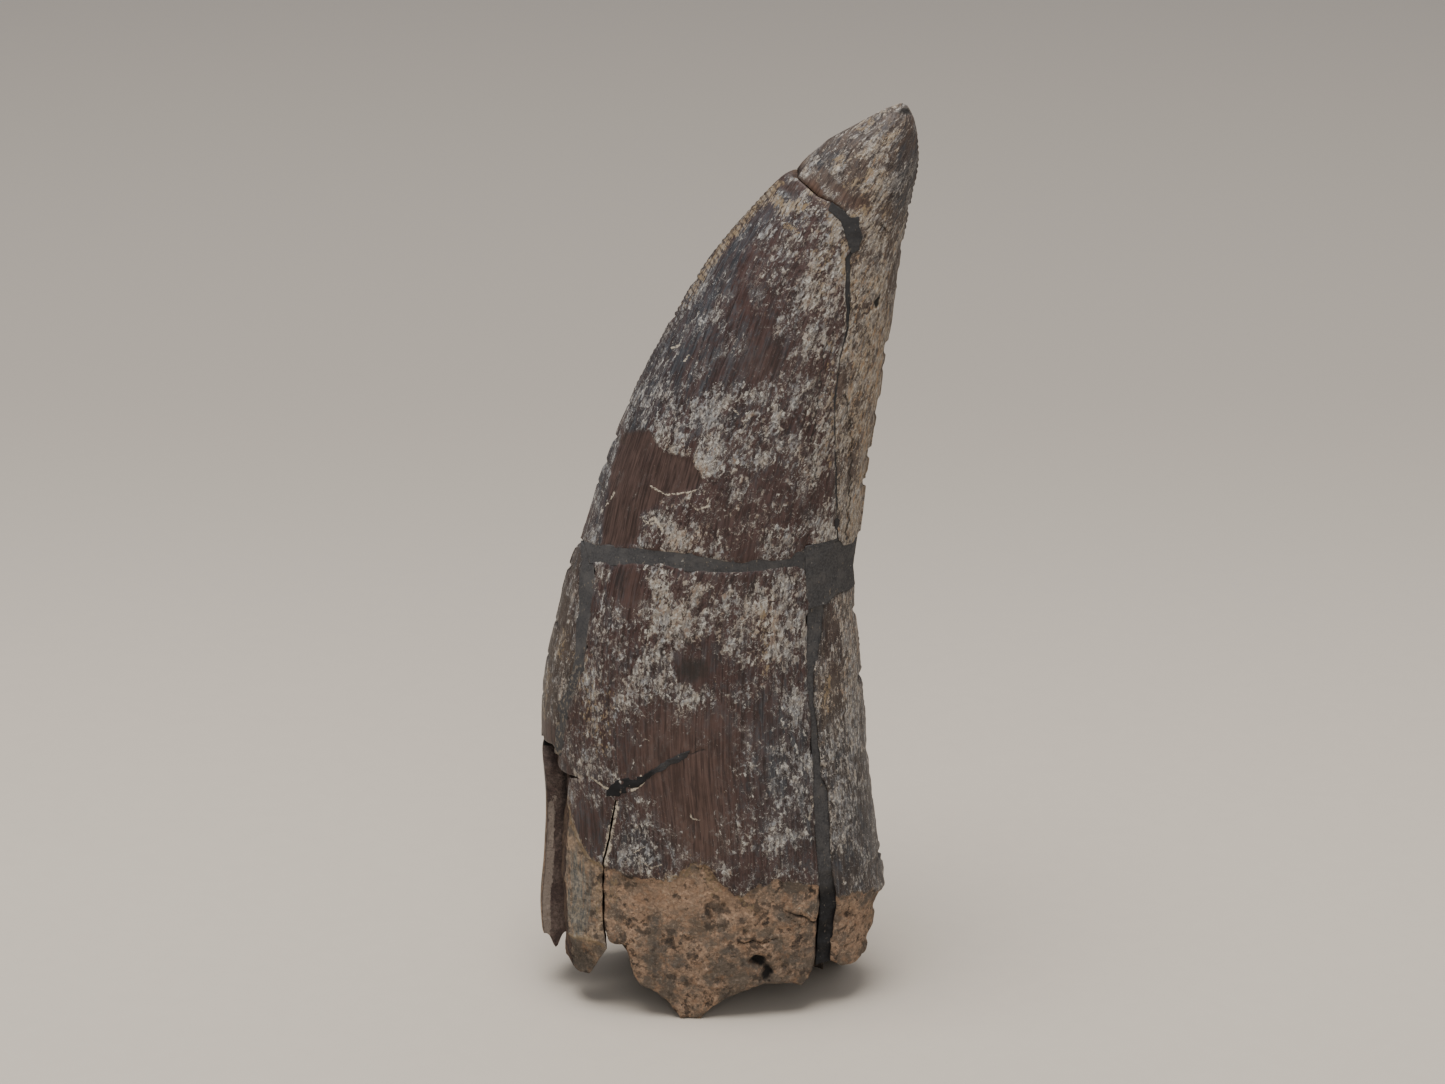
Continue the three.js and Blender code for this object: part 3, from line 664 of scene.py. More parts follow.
slabEnamel = toothMaterial(
    "slab enamel", fleckWidth=0.33, enamelDark=(0.030, 0.021, 0.018), enamelLight=(0.075, 0.057, 0.046),
    fleckCool=(0.215, 0.22, 0.23), fleckWarm=(0.42, 0.345, 0.265), fleckPale=(0.50, 0.47, 0.42),
    fleckRust=(0.30, 0.18, 0.10))
wallDentine = toothMaterial("wall dentine", breakDark=(0.100, 0.067, 0.059), breakLight=(0.178, 0.130, 0.111),
                            lip=(0.34, 0.28, 0.235))


def puttyMaterial(s):
    # dark matte filler with fine grit and a few pale smears; the attribute holds darker putty with painted shade in
    # deep places, and dust where it is thin
    material, n = newMaterial("dark putty")
    place = n.stretch(n.put("ShaderNodeTexCoord")["Object"], (1 / mm,) * 3)
    darkeningAndShade, dusty = n.parts(n.attribute("soil"))[:2]
    grit, cloud = n.noise(place, 4.5, 4.0, 0.75), n.noise(place, 0.6, 4.0, 0.65)
    crumbs = n.ramp(dusty * 0.34 + n.noise(place, 3.4, 4.0, 0.7, (1, 1, 0.5), (3, 1, 7)), 0.66, 0.72)
    colour = n.cover(
        n.blend(n.ramp(grit, 0.36, 0.64), s["dark"], s["light"]), (n.ramp(cloud, 0.46, 0.66, 0.0, 0.6), s["cloud"]),
        (n.ramp(n.noise(place, 2.6, 2.0, 0.5), 0.73, 0.76), s["speck"]),
        (n.ramp(darkeningAndShade + (grit - 0.5) * 0.8, 0.25, 0.75) * 0.92, s["darkeningAndShade"]),
        (crumbs * 0.9, n.blend(cloud, s["dustCool"], s["dustWarm"])))
    n.surface({"Base Color": colour, "Roughness": s["roughness"], "Specular IOR Level": s["specular"]},
              grit * 0.9 + cloud + crumbs * 0.6, s["bump"])
    return material


darkPutty = puttyMaterial(dict(dark=(0.038, 0.0375, 0.039), light=(0.072, 0.070, 0.071), cloud=(0.092, 0.087, 0.084),
                               speck=(0.24, 0.23, 0.21), darkeningAndShade=(0.012, 0.012, 0.013), dustCool=(0.13, 0.125, 0.115),
                               dustWarm=(0.22, 0.17, 0.12), roughness=0.85, specular=0.2, bump=0.6))

print("marks on the cheek face")

# Lines of breaks and of the enamel's end, as [x, z] on the cheek face.
tipCrack = [
    [10.8, 48.2], [10.6, 54.4], [10.4, 60.5], [10.4, 62.4], [10.8, 66.3], [11.5, 69.1], [11.7, 72.0], [11.6, 75.8],
    [12.3, 77.4], [11.9, 79.0], [11.1, 80.0], [10.5, 80.6], [9.8, 81.1], [8.6, 81.6], [7.5, 82.4], [6.7, 82.9],
]
seamTop = [
    [-13.6, 47.0], [-11.8, 47.4], [-7.8, 48.1], [-4.8, 48.1], [-3.3, 48.0], [-1.3, 47.6], [0.6, 47.3], [1.8, 47.1],
    [3.3, 47.4], [4.6, 47.2], [5.8, 47.1], [6.9, 47.2], [7.4, 47.7], [8.0, 48.2], [10.6, 48.2],
]
seamBottom = [
    [-12.8, 46.0], [-12.0, 46.3], [-8.6, 46.9], [-5.9, 47.2], [-2.8, 46.7], [0.6, 46.5], [3.1, 46.6], [5.7, 46.8],
    [7.1, 46.7], [7.9, 46.1],
]
slotMesialWall = [
    [9.0, 5.0], [9.1, 8.1], [9.5, 11.9], [9.2, 15.6], [8.9, 18.7], [8.7, 22.8], [8.6, 26.9], [8.4, 30.9], [8.0, 35.0],
    [8.0, 39.0], [8.2, 42.9], [7.9, 46.1],
]
slotDistalWall = [
    [10.7, 5.2], [10.8, 7.4], [11.3, 11.3], [10.6, 14.7], [10.4, 17.9], [10.1, 23.4], [9.5, 24.8], [9.2, 27.8],
    [9.0, 30.6], [8.7, 32.5], [8.7, 35.9], [9.4, 38.6], [9.7, 42.1],
]
rootBottom = [
    [-11.3, 7.7], [-9.8, 7.6], [-9.4, 6.3], [-9.1, 4.5], [-8.4, 3.4], [-7.0, 2.6], [-5.9, 1.9], [-4.9, 0.9],
    [-4.3, 0.0], [-2.4, 0.0], [-1.0, 1.4], [1.3, 2.7], [4.0, 3.7], [6.6, 3.5], [7.8, 2.9], [8.7, 3.9], [9.0, 5.0],
]
plateSide = [
    [-11.3, 7.7], [-11.8, 9.2], [-11.9, 11.0], [-11.9, 14.7], [-11.6, 16.7], [-11.1, 19.1], [-10.7, 21.6],
    [-10.2, 23.7],
]
plateTop = [[-10.2, 23.7], [-11.2, 23.8], [-11.9, 24.1], [-13.1, 24.9], [-15.4, 24.6], [-16.3, 24.9]]
flankSlotCrown = [
    [-16.3, 24.9], [-16.1, 26.6], [-15.2, 32.0], [-13.9, 35.5], [-13.2, 40.4], [-12.8, 43.3], [-12.8, 46.0],
]
flankSlotFlank = [
    [-16.3, 26.5], [-16.0, 28.4], [-15.8, 31.5], [-15.1, 33.2], [-14.4, 35.9], [-14.1, 38.3], [-13.8, 42.1],
    [-13.5, 44.4], [-13.5, 46.6],
]
slabBackCrack = [
    [9.9, 0.0], [9.7, 6.0], [10.0, 12.0], [9.7, 18.0], [9.1, 26.0], [8.8, 30.0], [8.6, 34.0], [8.9, 40.0],
    [9.0, 45.6],
]
mesialBackCrack = [
    [-12.9, 4.4], [-13.3, 10.0], [-12.6, 18.0], [-13.1, 25.6], [-13.6, 30.0], [-12.9, 36.0], [-13.4, 42.0],
    [-12.9, 45.9],
]
enamelEnd = [
    [-17.0, 21.5], [-15.3, 21.1], [-14.3, 18.2], [-13.3, 16.3], [-11.8, 16.0], [-9.7, 15.3], [-7.9, 15.0],
    [-5.4, 15.2], [-2.8, 17.2], [-1.7, 17.0], [-0.4, 15.0], [1.0, 13.8], [1.7, 13.6], [3.0, 14.3], [5.0, 15.1],
    [7.0, 14.5], [9.1, 13.7], [10.6, 12.3], [12.8, 12.4], [14.2, 12.1], [15.7, 11.0], [18.0, 10.5],
]
barePatch = [
    [-9.9, 58.1], [-7.0, 59.2], [-6.1, 57.6], [-3.2, 57.1], [-2.0, 55.3], [-3.3, 54.3], [-5.0, 53.4], [-8.0, 51.3],
    [-8.2, 48.4], [-11.9, 47.6], [-10.9, 54.5],
]

# Soft patches as (x, z, half width, half height, turn, amount).
cheekMarks = dict(
    bloom=(0.32, [
        # upper crown
        (-0.5, 61.5, 9, 3.0, -8, 0.17), (-3.5, 57.4, 4.2, 1.5, -25, 0.28), (8.5, 74.5, 3.4, 4.5, 12, 0.19),
        (7.6, 80.0, 3.5, 1.8, -35, 0.12), (4.5, 69.0, 3.0, 5.0, 14, 0.06), (-2.5, 70.0, 2.8, 2.2, 20, 0.05),
        (2.2, 72.5, 2.6, 5.5, 25, -0.19), (-1.5, 66.5, 4.5, 2.8, 30, -0.18), (4.0, 66.5, 2.4, 2.4, 0, -0.17),
        (2.5, 55.5, 4.5, 3.6, 0, 0.02), (-3.0, 49.2, 4.5, 1.3, 0, 0.22), (-5.5, 50.8, 3.0, 1.2, -30, 0.2),
        (5.5, 49.5, 2.6, 1.8, 0, 0.17), (2.5, 48.4, 1.5, 1.0, 0, -0.25), (8.5, 60.0, 2.0, 10, 2, 0.08),
        (-10.5, 56.0, 1.4, 6.0, 12, 0.12),
        # tip fragment and splinter
        (13.0, 85.0, 7.0, 6.0, 0, 0.10), (14.2, 63.0, 3.4, 19, 2, 0.30), (12.3, 50.0, 2.2, 4, 0, 0.38),
        (12.4, 86.4, 1.8, 0.7, 35, -0.10), (6.2, 82.3, 1.7, 0.7, 10, -0.5), (9.2, 81.1, 2.2, 0.6, -28, -0.4),
        (11.6, 81.4, 2.0, 0.9, -25, -0.28), (9.6, 82.9, 1.6, 0.5, -30, -0.3), (17.0, 85.2, 1.0, 2.0, 0, -0.16),
        (12.9, 81.6, 1.6, 1.1, 0, -0.20),
        # lower crown
        (-6.3, 43.5, 2.6, 4.2, 10, 0.32), (-0.8, 43.0, 5.5, 4.2, 0, 0.06), (5.6, 40.5, 3.0, 6.5, 0, 0.18),
        (-9.0, 44.5, 1.8, 2.6, 0, -0.40), (-3.0, 36.8, 2.1, 1.6, 0, -0.42), (-7.5, 37.5, 2.4, 3.0, 0, 0.14),
        (-4.5, 34.5, 4.0, 1.3, -10, 0.15), (-3.8, 27.5, 4.6, 5.2, 0, -0.30), (-8.5, 27.5, 2.5, 4.5, 0, -0.18),
        (-2.2, 20.5, 3.6, 4.5, 0, -0.18), (-8.0, 18.3, 2.8, 2.2, 0, 0.22), (6.8, 26.0, 2.4, 9.0, 0, 0.10),
        (-12.5, 33.5, 3.0, 5.0, 0, 0.07), (2.0, 31.5, 3.0, 3.0, 0, -0.10), (-8.5, 31.5, 1.8, 1.5, 20, 0.2),
        (5.5, 17.0, 2.8, 2.8, 0, 0.04),
        # flank, plate and slab
        (-15.5, 38.0, 2.0, 8.0, 10, -0.05), (-17.5, 27.5, 1.2, 1.6, 0, -0.5), (-13.2, 20.0, 2.6, 3.0, 0, -0.26),
        (12.3, 38.5, 2.6, 5.0, 0, 0.15), (12.0, 28.0, 3.0, 8.0, 0, 0.23), (10.4, 32.5, 0.9, 3.6, 0, -0.15),
        (13.0, 17.0, 3.0, 4.5, 0, 0.04),
    ]),
    warmth=(0.40, [
        (9.0, 74.0, 3.2, 4.0, 10, 0.28), (-3.8, 57.0, 3.0, 1.5, -25, 0.45), (-3.0, 49.2, 5.5, 1.6, 0, 0.35),
        (14.0, 60.0, 3.2, 18, 2, 0.42), (13.5, 85.0, 3.0, 3.0, 0, 0.12), (13.2, 86.8, 1.8, 0.9, 35, -0.3),
        (-6.0, 43.0, 3.2, 4.2, 0, 0.25), (3.9, 40.5, 1.2, 4.5, 0, 0.40), (-1.0, 42.5, 5.0, 3.5, 0, 0.20),
        (6.8, 25.0, 2.8, 9.0, 0, -0.35), (3.4, 27.0, 2.6, 7.0, 0, -0.22), (-8.0, 18.5, 4.5, 2.6, 0, -0.30),
        (-11.5, 55.0, 1.6, 8.0, 12, -0.35), (-4.0, 64.0, 6.0, 5.0, 0, -0.25), (-2.0, 72.0, 3.0, 6.0, 30, -0.25),
        (13.8, 36.0, 1.3, 6.0, 0, 0.30), (10.6, 33.0, 1.5, 3.4, 0, 0.5), (12.4, 40.0, 2.4, 3.0, 0, 0.3),
        (12.6, 81.2, 1.8, 1.4, -20, 0.5), (12.0, 26.0, 2.5, 8.0, 0, -0.25), (13.0, 17.0, 3.5, 4.5, 0, -0.30),
        (-15.8, 37.0, 2.0, 8.0, 8, 0.25), (-12.5, 33.0, 2.8, 5.0, 0, 0.02), (16.8, 82.5, 1.4, 4.0, 0, -0.42),
        (9.5, 84.3, 1.5, 1.2, 30, -0.3), (8.6, 58.0, 1.6, 9.0, 0, 0.25), (0.5, 52.5, 6.0, 3.5, 0, 0.25),
        (-4.0, 13.9, 4.5, 2.4, 0, 0.50), (1.8, 12.2, 2.6, 1.6, 0, 0.45), (-9.5, 12.0, 2.2, 3.5, 0, 0.10),
        (13.0, 8.0, 1.6, 2.5, 0, 0.30), (3.5, 4.5, 5.5, 3.5, 0, -0.36), (-6.0, 5.0, 3.4, 3.6, 0, -0.20),
        (-14.3, 13.0, 1.8, 4.0, 0, 0.12), (-14.2, 5.0, 1.7, 2.0, 0, -0.45),
    ]),
    bare=(0.0, [(6.0, 82.3, 1.6, 0.55, 10, 1.0), (8.9, 81.2, 2.2, 0.55, -28, 1.0), (11.9, 81.2, 2.0, 0.8, -22, 0.8),
                (10.2, 42.0, 0.7, 1.6, 0, 0.7), (10.4, 37.5, 0.8, 3.6, 4, 0.6), (-17.4, 27.8, 1.4, 1.6, 0, 1.0),
                (-14.2, 40.5, 0.35, 5.0, 8, 0.7), (0.2, 52.0, 1.5, 1.4, 0, 0.6), (-9.2, 44.6, 1.2, 2.6, 0, 0.4),
                (-3.9, 27.5, 5.2, 5.4, 0, 0.9), (-2.4, 20.0, 4.2, 3.8, 0, 0.9), (3.5, 66.0, 2.2, 1.8, 0, 0.5),
                (-8.9, 35.0, 2.0, 1.0, 0, 0.3), (-2.9, 36.9, 1.6, 1.3, 0, 0.4)]),
)
cheekEdges = dict(period=(2.2, 2.2, 3.2), across=1.0, up=1.3, patchAcross=0.35, patchUp=0.3, patchBloom=0.95)
boneLine = dict(softness=0.5, wander=0.35, jags=0.65, jagPeriod=(0.8, 0.8, 1.0))


def cheekFields(x, z, points):
    # the listed marks of the cheek face, their edges broken up by noise
    s = cheekEdges
    wander, wanderUp = (roughField(points, s["period"], 3, seed) for seed in (11, 17))
    sx, sz = x + wander * s["across"], z + wanderUp * s["up"]
    bloom, warmth, bare = (base + softPatches(sx, sz, patches) for base, patches in cheekMarks.values())
    patch = withinOutline(x + wander * s["patchAcross"], z + wanderUp * s["patchUp"], barePatch)
    patch = smoothStep(-0.25, 0.3, patch)
    bare = np.maximum(bare, patch)
    bloom = bloom * (1 - s["patchBloom"] * patch)
    # a cool band runs just inside the mesial edge: painted reflection of the sky on the rounded enamel
    s = mesialBand
    inBand = smoothStep(*s["reflectionEnds"], z) * (z > s["reflectionFrom"])
    edgeReflection = bell(x - mesialX(z) - s["reflectionAt"], s["reflectionWidth"]) * inBand
    warmth = warmth - s["slateAndReflection"] * edgeReflection
    # the enamel ends along a line, below which the root is bare bone
    s = boneLine
    endZ = np.interp(x, *np.transpose(enamelEnd))
    jags = roughField(points, s["jagPeriod"], 4, 61)
    bone = smoothStep(s["softness"], -s["softness"], z - endZ + wander * s["wander"] + jags * s["jags"])
    return bloom, warmth, bare, bone


tongueMarks = dict(bloom=0.42, bloomSpread=0.34, tipBloom=0.12, bareBloom=0.75, warmth=0.5, warmthSpread=0.45,
                   boneTop=14.5, boneSoftness=0.6, boneWander=2.0, boneSlope=0.12)


def tongueFields(x, z, points):
    # the unseen tongue face gets patches of the same kinds from noise alone
    s = tongueMarks
    broad = roughField(points, (7, 7, 10), 3, 31)
    other = roughField(points, (6, 6, 9), 3, 37)
    bloom = s["bloom"] + s["bloomSpread"] * broad + s["tipBloom"] * smoothStep(60, 85, z)
    bare = smoothStep(0.15, 0.45, other)
    bloom = bloom * (1 - s["bareBloom"] * bare)
    warmth = s["warmth"] + s["warmthSpread"] * roughField(points, (5, 5, 12), 2, 41)
    bone = smoothStep(s["boneSoftness"], -s["boneSoftness"],
                      z - s["boneTop"] + s["boneWander"] * other - s["boneSlope"] * x)
    return bloom, warmth, bare, bone


def fieldsOf(points, side):
    x, z = points[:, 0], points[:, 2]
    cheek, tongue = cheekFields(x, z, points), tongueFields(x, z, points)
    # round the thin edges the cheek's marks run on for a little way
    share = (side > 0.5) * smoothStep(0.3, 3.0, np.minimum(x - mesialX(z), distalX(z) - x))
    return [c * (1 - share) + t * share for c, t in zip(cheek, tongue)]


def grainOf(points):
    # coordinates in mm that follow the enamel: round the section, along the growth, and a little of the depth
    x, y, z = points.T
    half = (distalX(z) - mesialX(z)) / 2
    around = np.arcsin(acrossAt(x, z)) * half * 0.95
    return np.stack([around, z, 0.4 * y], -1)


fineCracks = dict(
    lineShade=0.8,
    # ([[x, z], ...], width, depth)
    lines=[
        ([[1.5, 8.4], [2.9, 8.5], [4.3, 8.3], [5.2, 8.7]], 0.10, 0.22),
        ([[4.4, 5.3], [4.6, 4.2], [4.5, 3.9]], 0.10, 0.2),
        ([[6.2, 11.3], [7.4, 10.9], [8.6, 10.0], [9.3, 9.6]], 0.14, 0.3),
        ([[5.9, 11.6], [6.0, 10.9], [6.9, 10.4]], 0.10, 0.2),
        ([[11.6, 47.9], [11.9, 53.0], [12.0, 58.0], [11.4, 62.5]], 0.11, 0.16),
        ([[13.4, 53.4], [14.6, 53.1]], 0.08, 0.12), ([[7.8, 48.6], [8.3, 53.0], [8.6, 58.0]], 0.08, 0.08),
        ([[8.2, 58.5], [8.8, 63.5], [9.4, 68.0]], 0.09, 0.07), ([[-3.5, 28.4], [-1.8, 28.7]], 0.10, 0.1),
        ([[14.5, 78.6], [15.1, 77.9]], 0.12, 0.15), ([[13.9, 88.0], [14.7, 88.7]], 0.10, 0.10),
    ],
    # (x, z, half width, half height, depth, darkness)
    pits=[(3.4, 6.3, 0.75, 0.60, 0.9, 1.0), (4.1, 5.0, 0.50, 1.0, 0.6, 0.9), (-9.4, 15.0, 0.9, 0.5, 0.12, 0.55),
          (-1.6, 11.8, 0.45, 1.2, 0.15, 0.6), (0.0, 12.4, 0.4, 0.4, 0.12, 0.6), (14.3, 71.2, 0.28, 0.55, 0.18, 0.9),
          (16.9, 88.9, 0.9, 0.35, 0.12, 0.7), (-3.6, 8.8, 0.5, 0.4, 0.15, 0.5), (5.9, 5.6, 0.6, 0.5, 0.15, 0.5),
          (-7.4, 10.6, 0.5, 0.6, 0.12, 0.45), (12.3, 10.1, 0.8, 0.4, 0.15, 0.5), (-0.6, 4.2, 0.5, 0.35, 0.15, 0.5),
          (1.9, 9.6, 0.4, 0.6, 0.12, 0.5), (-14.0, 4.9, 2.6, 2.1, 0.5, 0.46), (-14.0, 7.6, 1.9, 0.3, -0.2, 0.0),
          # on this line and the next, the marks at x -14.8 and -13.6 are painted shade in the slot beside the mesial
          # flank
          (-2.9, 36.9, 1.9, 1.5, 0.0, 0.6), (-9.8, 45.0, 1.2, 1.6, 0.0, 0.42), (-14.8, 33.4, 0.8, 2.6, 0.0, 0.5),
          (-13.6, 37.5, 0.5, 2.6, 0.0, 0.35)],
)


def cutFineCracks(x, z):
    # how deep and how dark the fine cracks and pits are, along lines that waver a little; the darkness is partly
    # stain and partly painted shade
    groove, shade = np.zeros(len(x)), np.zeros(len(x))
    x, z = x + 0.12 * np.sin(3.1 * z + 1.3) + 0.06 * np.sin(8.3 * z), z + 0.10 * np.sin(3.7 * x + 0.5)
    for line, width, depth in fineCracks["lines"]:
        near = bell(nearLine(x, z, line), width)
        groove, shade = groove + depth * near, np.maximum(shade, near * fineCracks["lineShade"])
    for pitX, pitZ, halfWidth, halfHeight, depth, dark in fineCracks["pits"]:
        near = np.exp(-((((x - pitX) / halfWidth) ** 2 + ((z - pitZ) / halfHeight) ** 2) ** 2))
        groove, shade = groove + depth * near, np.maximum(shade, dark * near)
    return groove, shade


# Pale lips of cracks and scratches as ([[x, z], ...], width, amount).
paleLips = [
    ([[-10.3, 22.8], [-10.8, 20.5], [-11.2, 18.4], [-11.5, 16.2]], 0.46, 0.80),
    ([[-12.8, 25.0], [-11.6, 24.2], [-10.6, 23.9]], 0.22, 0.8),
    ([[-8.9, 24.3], [-7.8, 25.2], [-8.0, 25.9]], 0.22, 0.95), ([[-11.0, 23.7], [-10.2, 23.6]], 0.2, 0.6),
    ([[-6.9, 54.1], [-5.5, 53.6], [-4.0, 53.9], [-2.6, 54.3]], 0.14, 0.8),
    ([[-7.2, 50.6], [-6.4, 50.9], [-5.6, 49.8]], 0.18, 0.7), ([[-3.4, 22.2], [-3.0, 21.6], [-2.2, 21.5]], 0.16, 0.8),
    ([[-8.8, 31.2], [-7.9, 29.9], [-7.0, 29.4]], 0.13, 0.6), ([[3.9, 25.6], [3.6, 23.9], [4.6, 22.8]], 0.13, 0.5),
    ([[7.0, 12.0], [8.2, 11.2], [8.7, 10.4]], 0.2, 0.6), ([[-10.0, 16.0], [-9.0, 17.8], [-7.6, 18.6]], 0.12, 0.6),
    ([[-3.1, 54.0], [-3.3, 53.1], [-2.6, 52.4], [-1.6, 52.8], [-1.6, 53.5]], 0.16, 0.75),
    ([[-11.7, 50.6], [-11.0, 51.6], [-10.5, 52.8]], 0.13, 0.7),
    ([[-11.9, 54.9], [-11.2, 55.6], [-10.7, 56.8]], 0.13, 0.6),
    ([[-8.9, 20.9], [-8.2, 20.4], [-7.6, 20.9]], 0.14, 0.7), ([[-7.9, 16.9], [-7.0, 16.3], [-6.1, 16.8]], 0.16, 0.7),
    ([[-7.9, 51.2], [-7.3, 50.7], [-6.6, 51.3], [-5.9, 50.4]], 0.2, 0.8),
    ([[8.1, 21.0], [8.5, 22.2], [8.4, 23.2]], 0.35, 0.6), ([[11.1, 69.3], [11.4, 72.0], [11.3, 75.0]], 0.14, 0.6),
    ([[-5.0, 66.6], [-4.2, 67.1]], 0.16, 0.8), ([[-3.9, 65.7], [-3.4, 66.4], [-2.9, 66.2]], 0.12, 0.7),
    ([[7.2, 79.4], [8.0, 78.9], [8.2, 78.2]], 0.14, 0.6), ([[12.3, 45.2], [12.6, 45.0]], 0.12, 0.9),
    ([[0.6, 62.1], [1.5, 61.4], [1.9, 60.3]], 0.15, 0.6),
]
lipEdges = dict(noise=((0.9, 51), (0.9, 53), (1.6, 55)), shift=0.14, fade=0.35)

# Rusty lines as ([[x, z], ...], width, amount), and grey streaks as soft patches.
ochreLines = [
    ([[-15.5, 22.5], [-15.2, 20.5], [-14.3, 18.2], [-13.3, 16.4], [-11.9, 15.8]], 0.34, 0.85),
    ([[-15.6, 7.5], [-13.2, 7.8], [-11.9, 7.4]], 0.30, 0.85), ([[-16.0, 9.0], [-16.0, 15.0]], 0.3, 0.6),
    ([[-12.4, 9.0], [-12.2, 14.0]], 0.35, 0.45), ([[9.9, 34.6], [9.7, 31.4]], 0.55, 0.55),
    ([[11.1, 77.6], [11.0, 74.0]], 0.4, 0.6), ([[-5.8, 15.0], [-2.8, 16.4], [-1.7, 16.0], [-0.8, 14.2]], 1.0, 0.5),
    ([[11.9, 79.6], [13.0, 80.4]], 0.7, 0.5), ([[-17.0, 34.0], [-17.6, 29.0]], 0.3, 0.5),
    ([[14.3, 10.0], [14.7, 7.5]], 0.4, 0.5), ([[10.6, 10.9], [12.6, 11.2]], 0.5, 0.3),
    ([[1.5, 13.0], [3.0, 12.0]], 0.9, 0.45), ([[-11.0, 12.5], [-10.6, 14.5]], 0.8, 0.5),
    ([[4.6, 80.9], [5.8, 80.2], [7.2, 80.6]], 0.9, 0.62), ([[5.6, 79.0], [6.6, 78.4]], 0.5, 0.5),
    ([[9.8, 80.4], [10.2, 79.0], [9.6, 76.0]], 0.7, 0.5), ([[8.4, 76.5], [9.0, 73.0]], 0.8, 0.38),
    ([[7.9, 81.9], [9.4, 80.9]], 0.4, 0.5), ([[9.8, 68.0], [10.0, 62.0], [9.8, 56.0]], 0.5, 0.42),
    ([[3.6, 43.0], [3.9, 36.0]], 0.5, 0.45), ([[13.0, 83.0], [13.6, 84.0]], 0.7, 0.5),
    ([[10.2, 84.6], [11.0, 85.0]], 0.5, 0.5), ([[14.8, 86.6], [15.6, 87.0]], 0.6, 0.45),
    ([[11.5, 82.6], [12.6, 83.0]], 0.5, 0.55), ([[14.6, 81.5], [15.0, 79.5]], 0.7, 0.35),
    ([[12.4, 87.3], [13.6, 88.1]], 0.35, 0.5), ([[-6.2, 43.6], [-5.4, 43.0]], 0.4, 0.5),
    ([[-16.0, 36.0], [-15.4, 38.5]], 0.4, 0.5), ([[13.6, 38.0], [14.2, 33.0]], 0.35, 0.45),
    ([[14.6, 30.0], [14.2, 33.0]], 0.35, 0.35), ([[-15.9, 43.0], [-15.0, 45.6]], 0.3, 0.4),
    ([[-13.6, 37.0], [-12.6, 30.0]], 1.5, 0.40), ([[-11.0, 34.0], [-11.8, 28.0]], 1.1, 0.34),
]
# the values after amount place a painted reflection of the sky just inside the mesial edge
mesialBand = dict(z=(66.0, 82.3), inside=0.35, width=0.55, amount=0.95, reflectionAt=1.5, reflectionWidth=0.9, slateAndReflection=0.5,
                  reflectionFrom=47.5, reflectionEnds=(82.6, 82.2))
denticleRow = dict(inside=0.15, width=0.65, zFrom=62, zFull=68)
greyStreaks = [(-14.4, 12.5, 1.2, 5.0, 0, 0.75), (-14.4, 9.0, 1.2, 1.8, 0, 0.5), (-12.9, 12.0, 0.6, 3.0, 0, 0.3)]


def rustFields(x, z):
    # ochre on the cheek face, and the row of grey streaks and denticles
    s, inside = mesialBand, x - mesialX(z)
    low, high = s["z"]
    inBand = smoothStep(low, low + 9, z) * (z < high) * (0.75 + 0.25 * np.sin(z * 7.3) * np.sin(z * 2.9 + 1))
    ochre = np.maximum(strongest(x, z, ochreLines), s["amount"] * bell(inside - s["inside"], s["width"]) * inBand)
    s = denticleRow
    row = bell(inside - s["inside"], s["width"]) * smoothStep(s["zFrom"], s["zFull"], z) * (z < high)
    return ochre, np.maximum(np.clip(softPatches(x, z, greyStreaks), 0, 1), row)


def dressPiece(s, points, faces, inner, side):
    # attributes of every vertex; side runs from 0 on the cheek face to 1 on the far face, inner is 1 in a break
    x, z = points[:, 0], points[:, 2]
    bloom, warmth, bare, bone = fieldsOf(points, side)
    onCheek = side < 0.02
    shade = cutFineCracks(x, z)[1]
    shiftX, shiftZ, fade = (roughField(points, (size,) * 3, 3, seed) for size, seed in lipEdges["noise"])
    shiftX, shiftZ = shiftX * lipEdges["shift"], shiftZ * lipEdges["shift"]
    lips = strongest(x + shiftX, z + shiftZ, paleLips) * (1 + lipEdges["fade"] * fade)
    broken = inner.copy()
    if s["backIsSkin"]:
        # along the two thin edges the rim is skin, not a break
        broken = broken * smoothStep(0.5, 1.1, np.minimum(np.abs(x - mesialX(z)), np.abs(x - distalX(z))))
    else:
        broken[side > 0.98] = 1
    ochre, row = (amount * onCheek for amount in rustFields(x, z))
    lips, shade = s["marks"](points, side) if "marks" in s else (lips * onCheek, shade * onCheek)
    values = dict(
        grain=grainOf(points),
        marks=np.clip(np.stack([bloom, warmth, bare], -1), 0, 1),
        wear=np.clip(np.stack([bone, shade, lips], -1), 0, 1),
        cuts=np.stack([broken, ochre, row], -1),
    )
    addPiece(s["name"], points, faces, values, s["material"], s["node"])


# Depths in mm, and how far from a break they reach. Tight breaks are the closely fitting ones.
relief = dict(
    rounding=0.28, roundingReach=0.16, chips=0.40, chipReach=0.40,
    tightRounding=0.10, tightReach=0.10, tightChips=0.22, tightChipReach=0.25,
    waves=0.07, ripples=0.05, bare=0.07, bloom=0.04, bone=0.34, boneLumps=0.36, boneHollows=0.28, boneGrain=0.10,
)


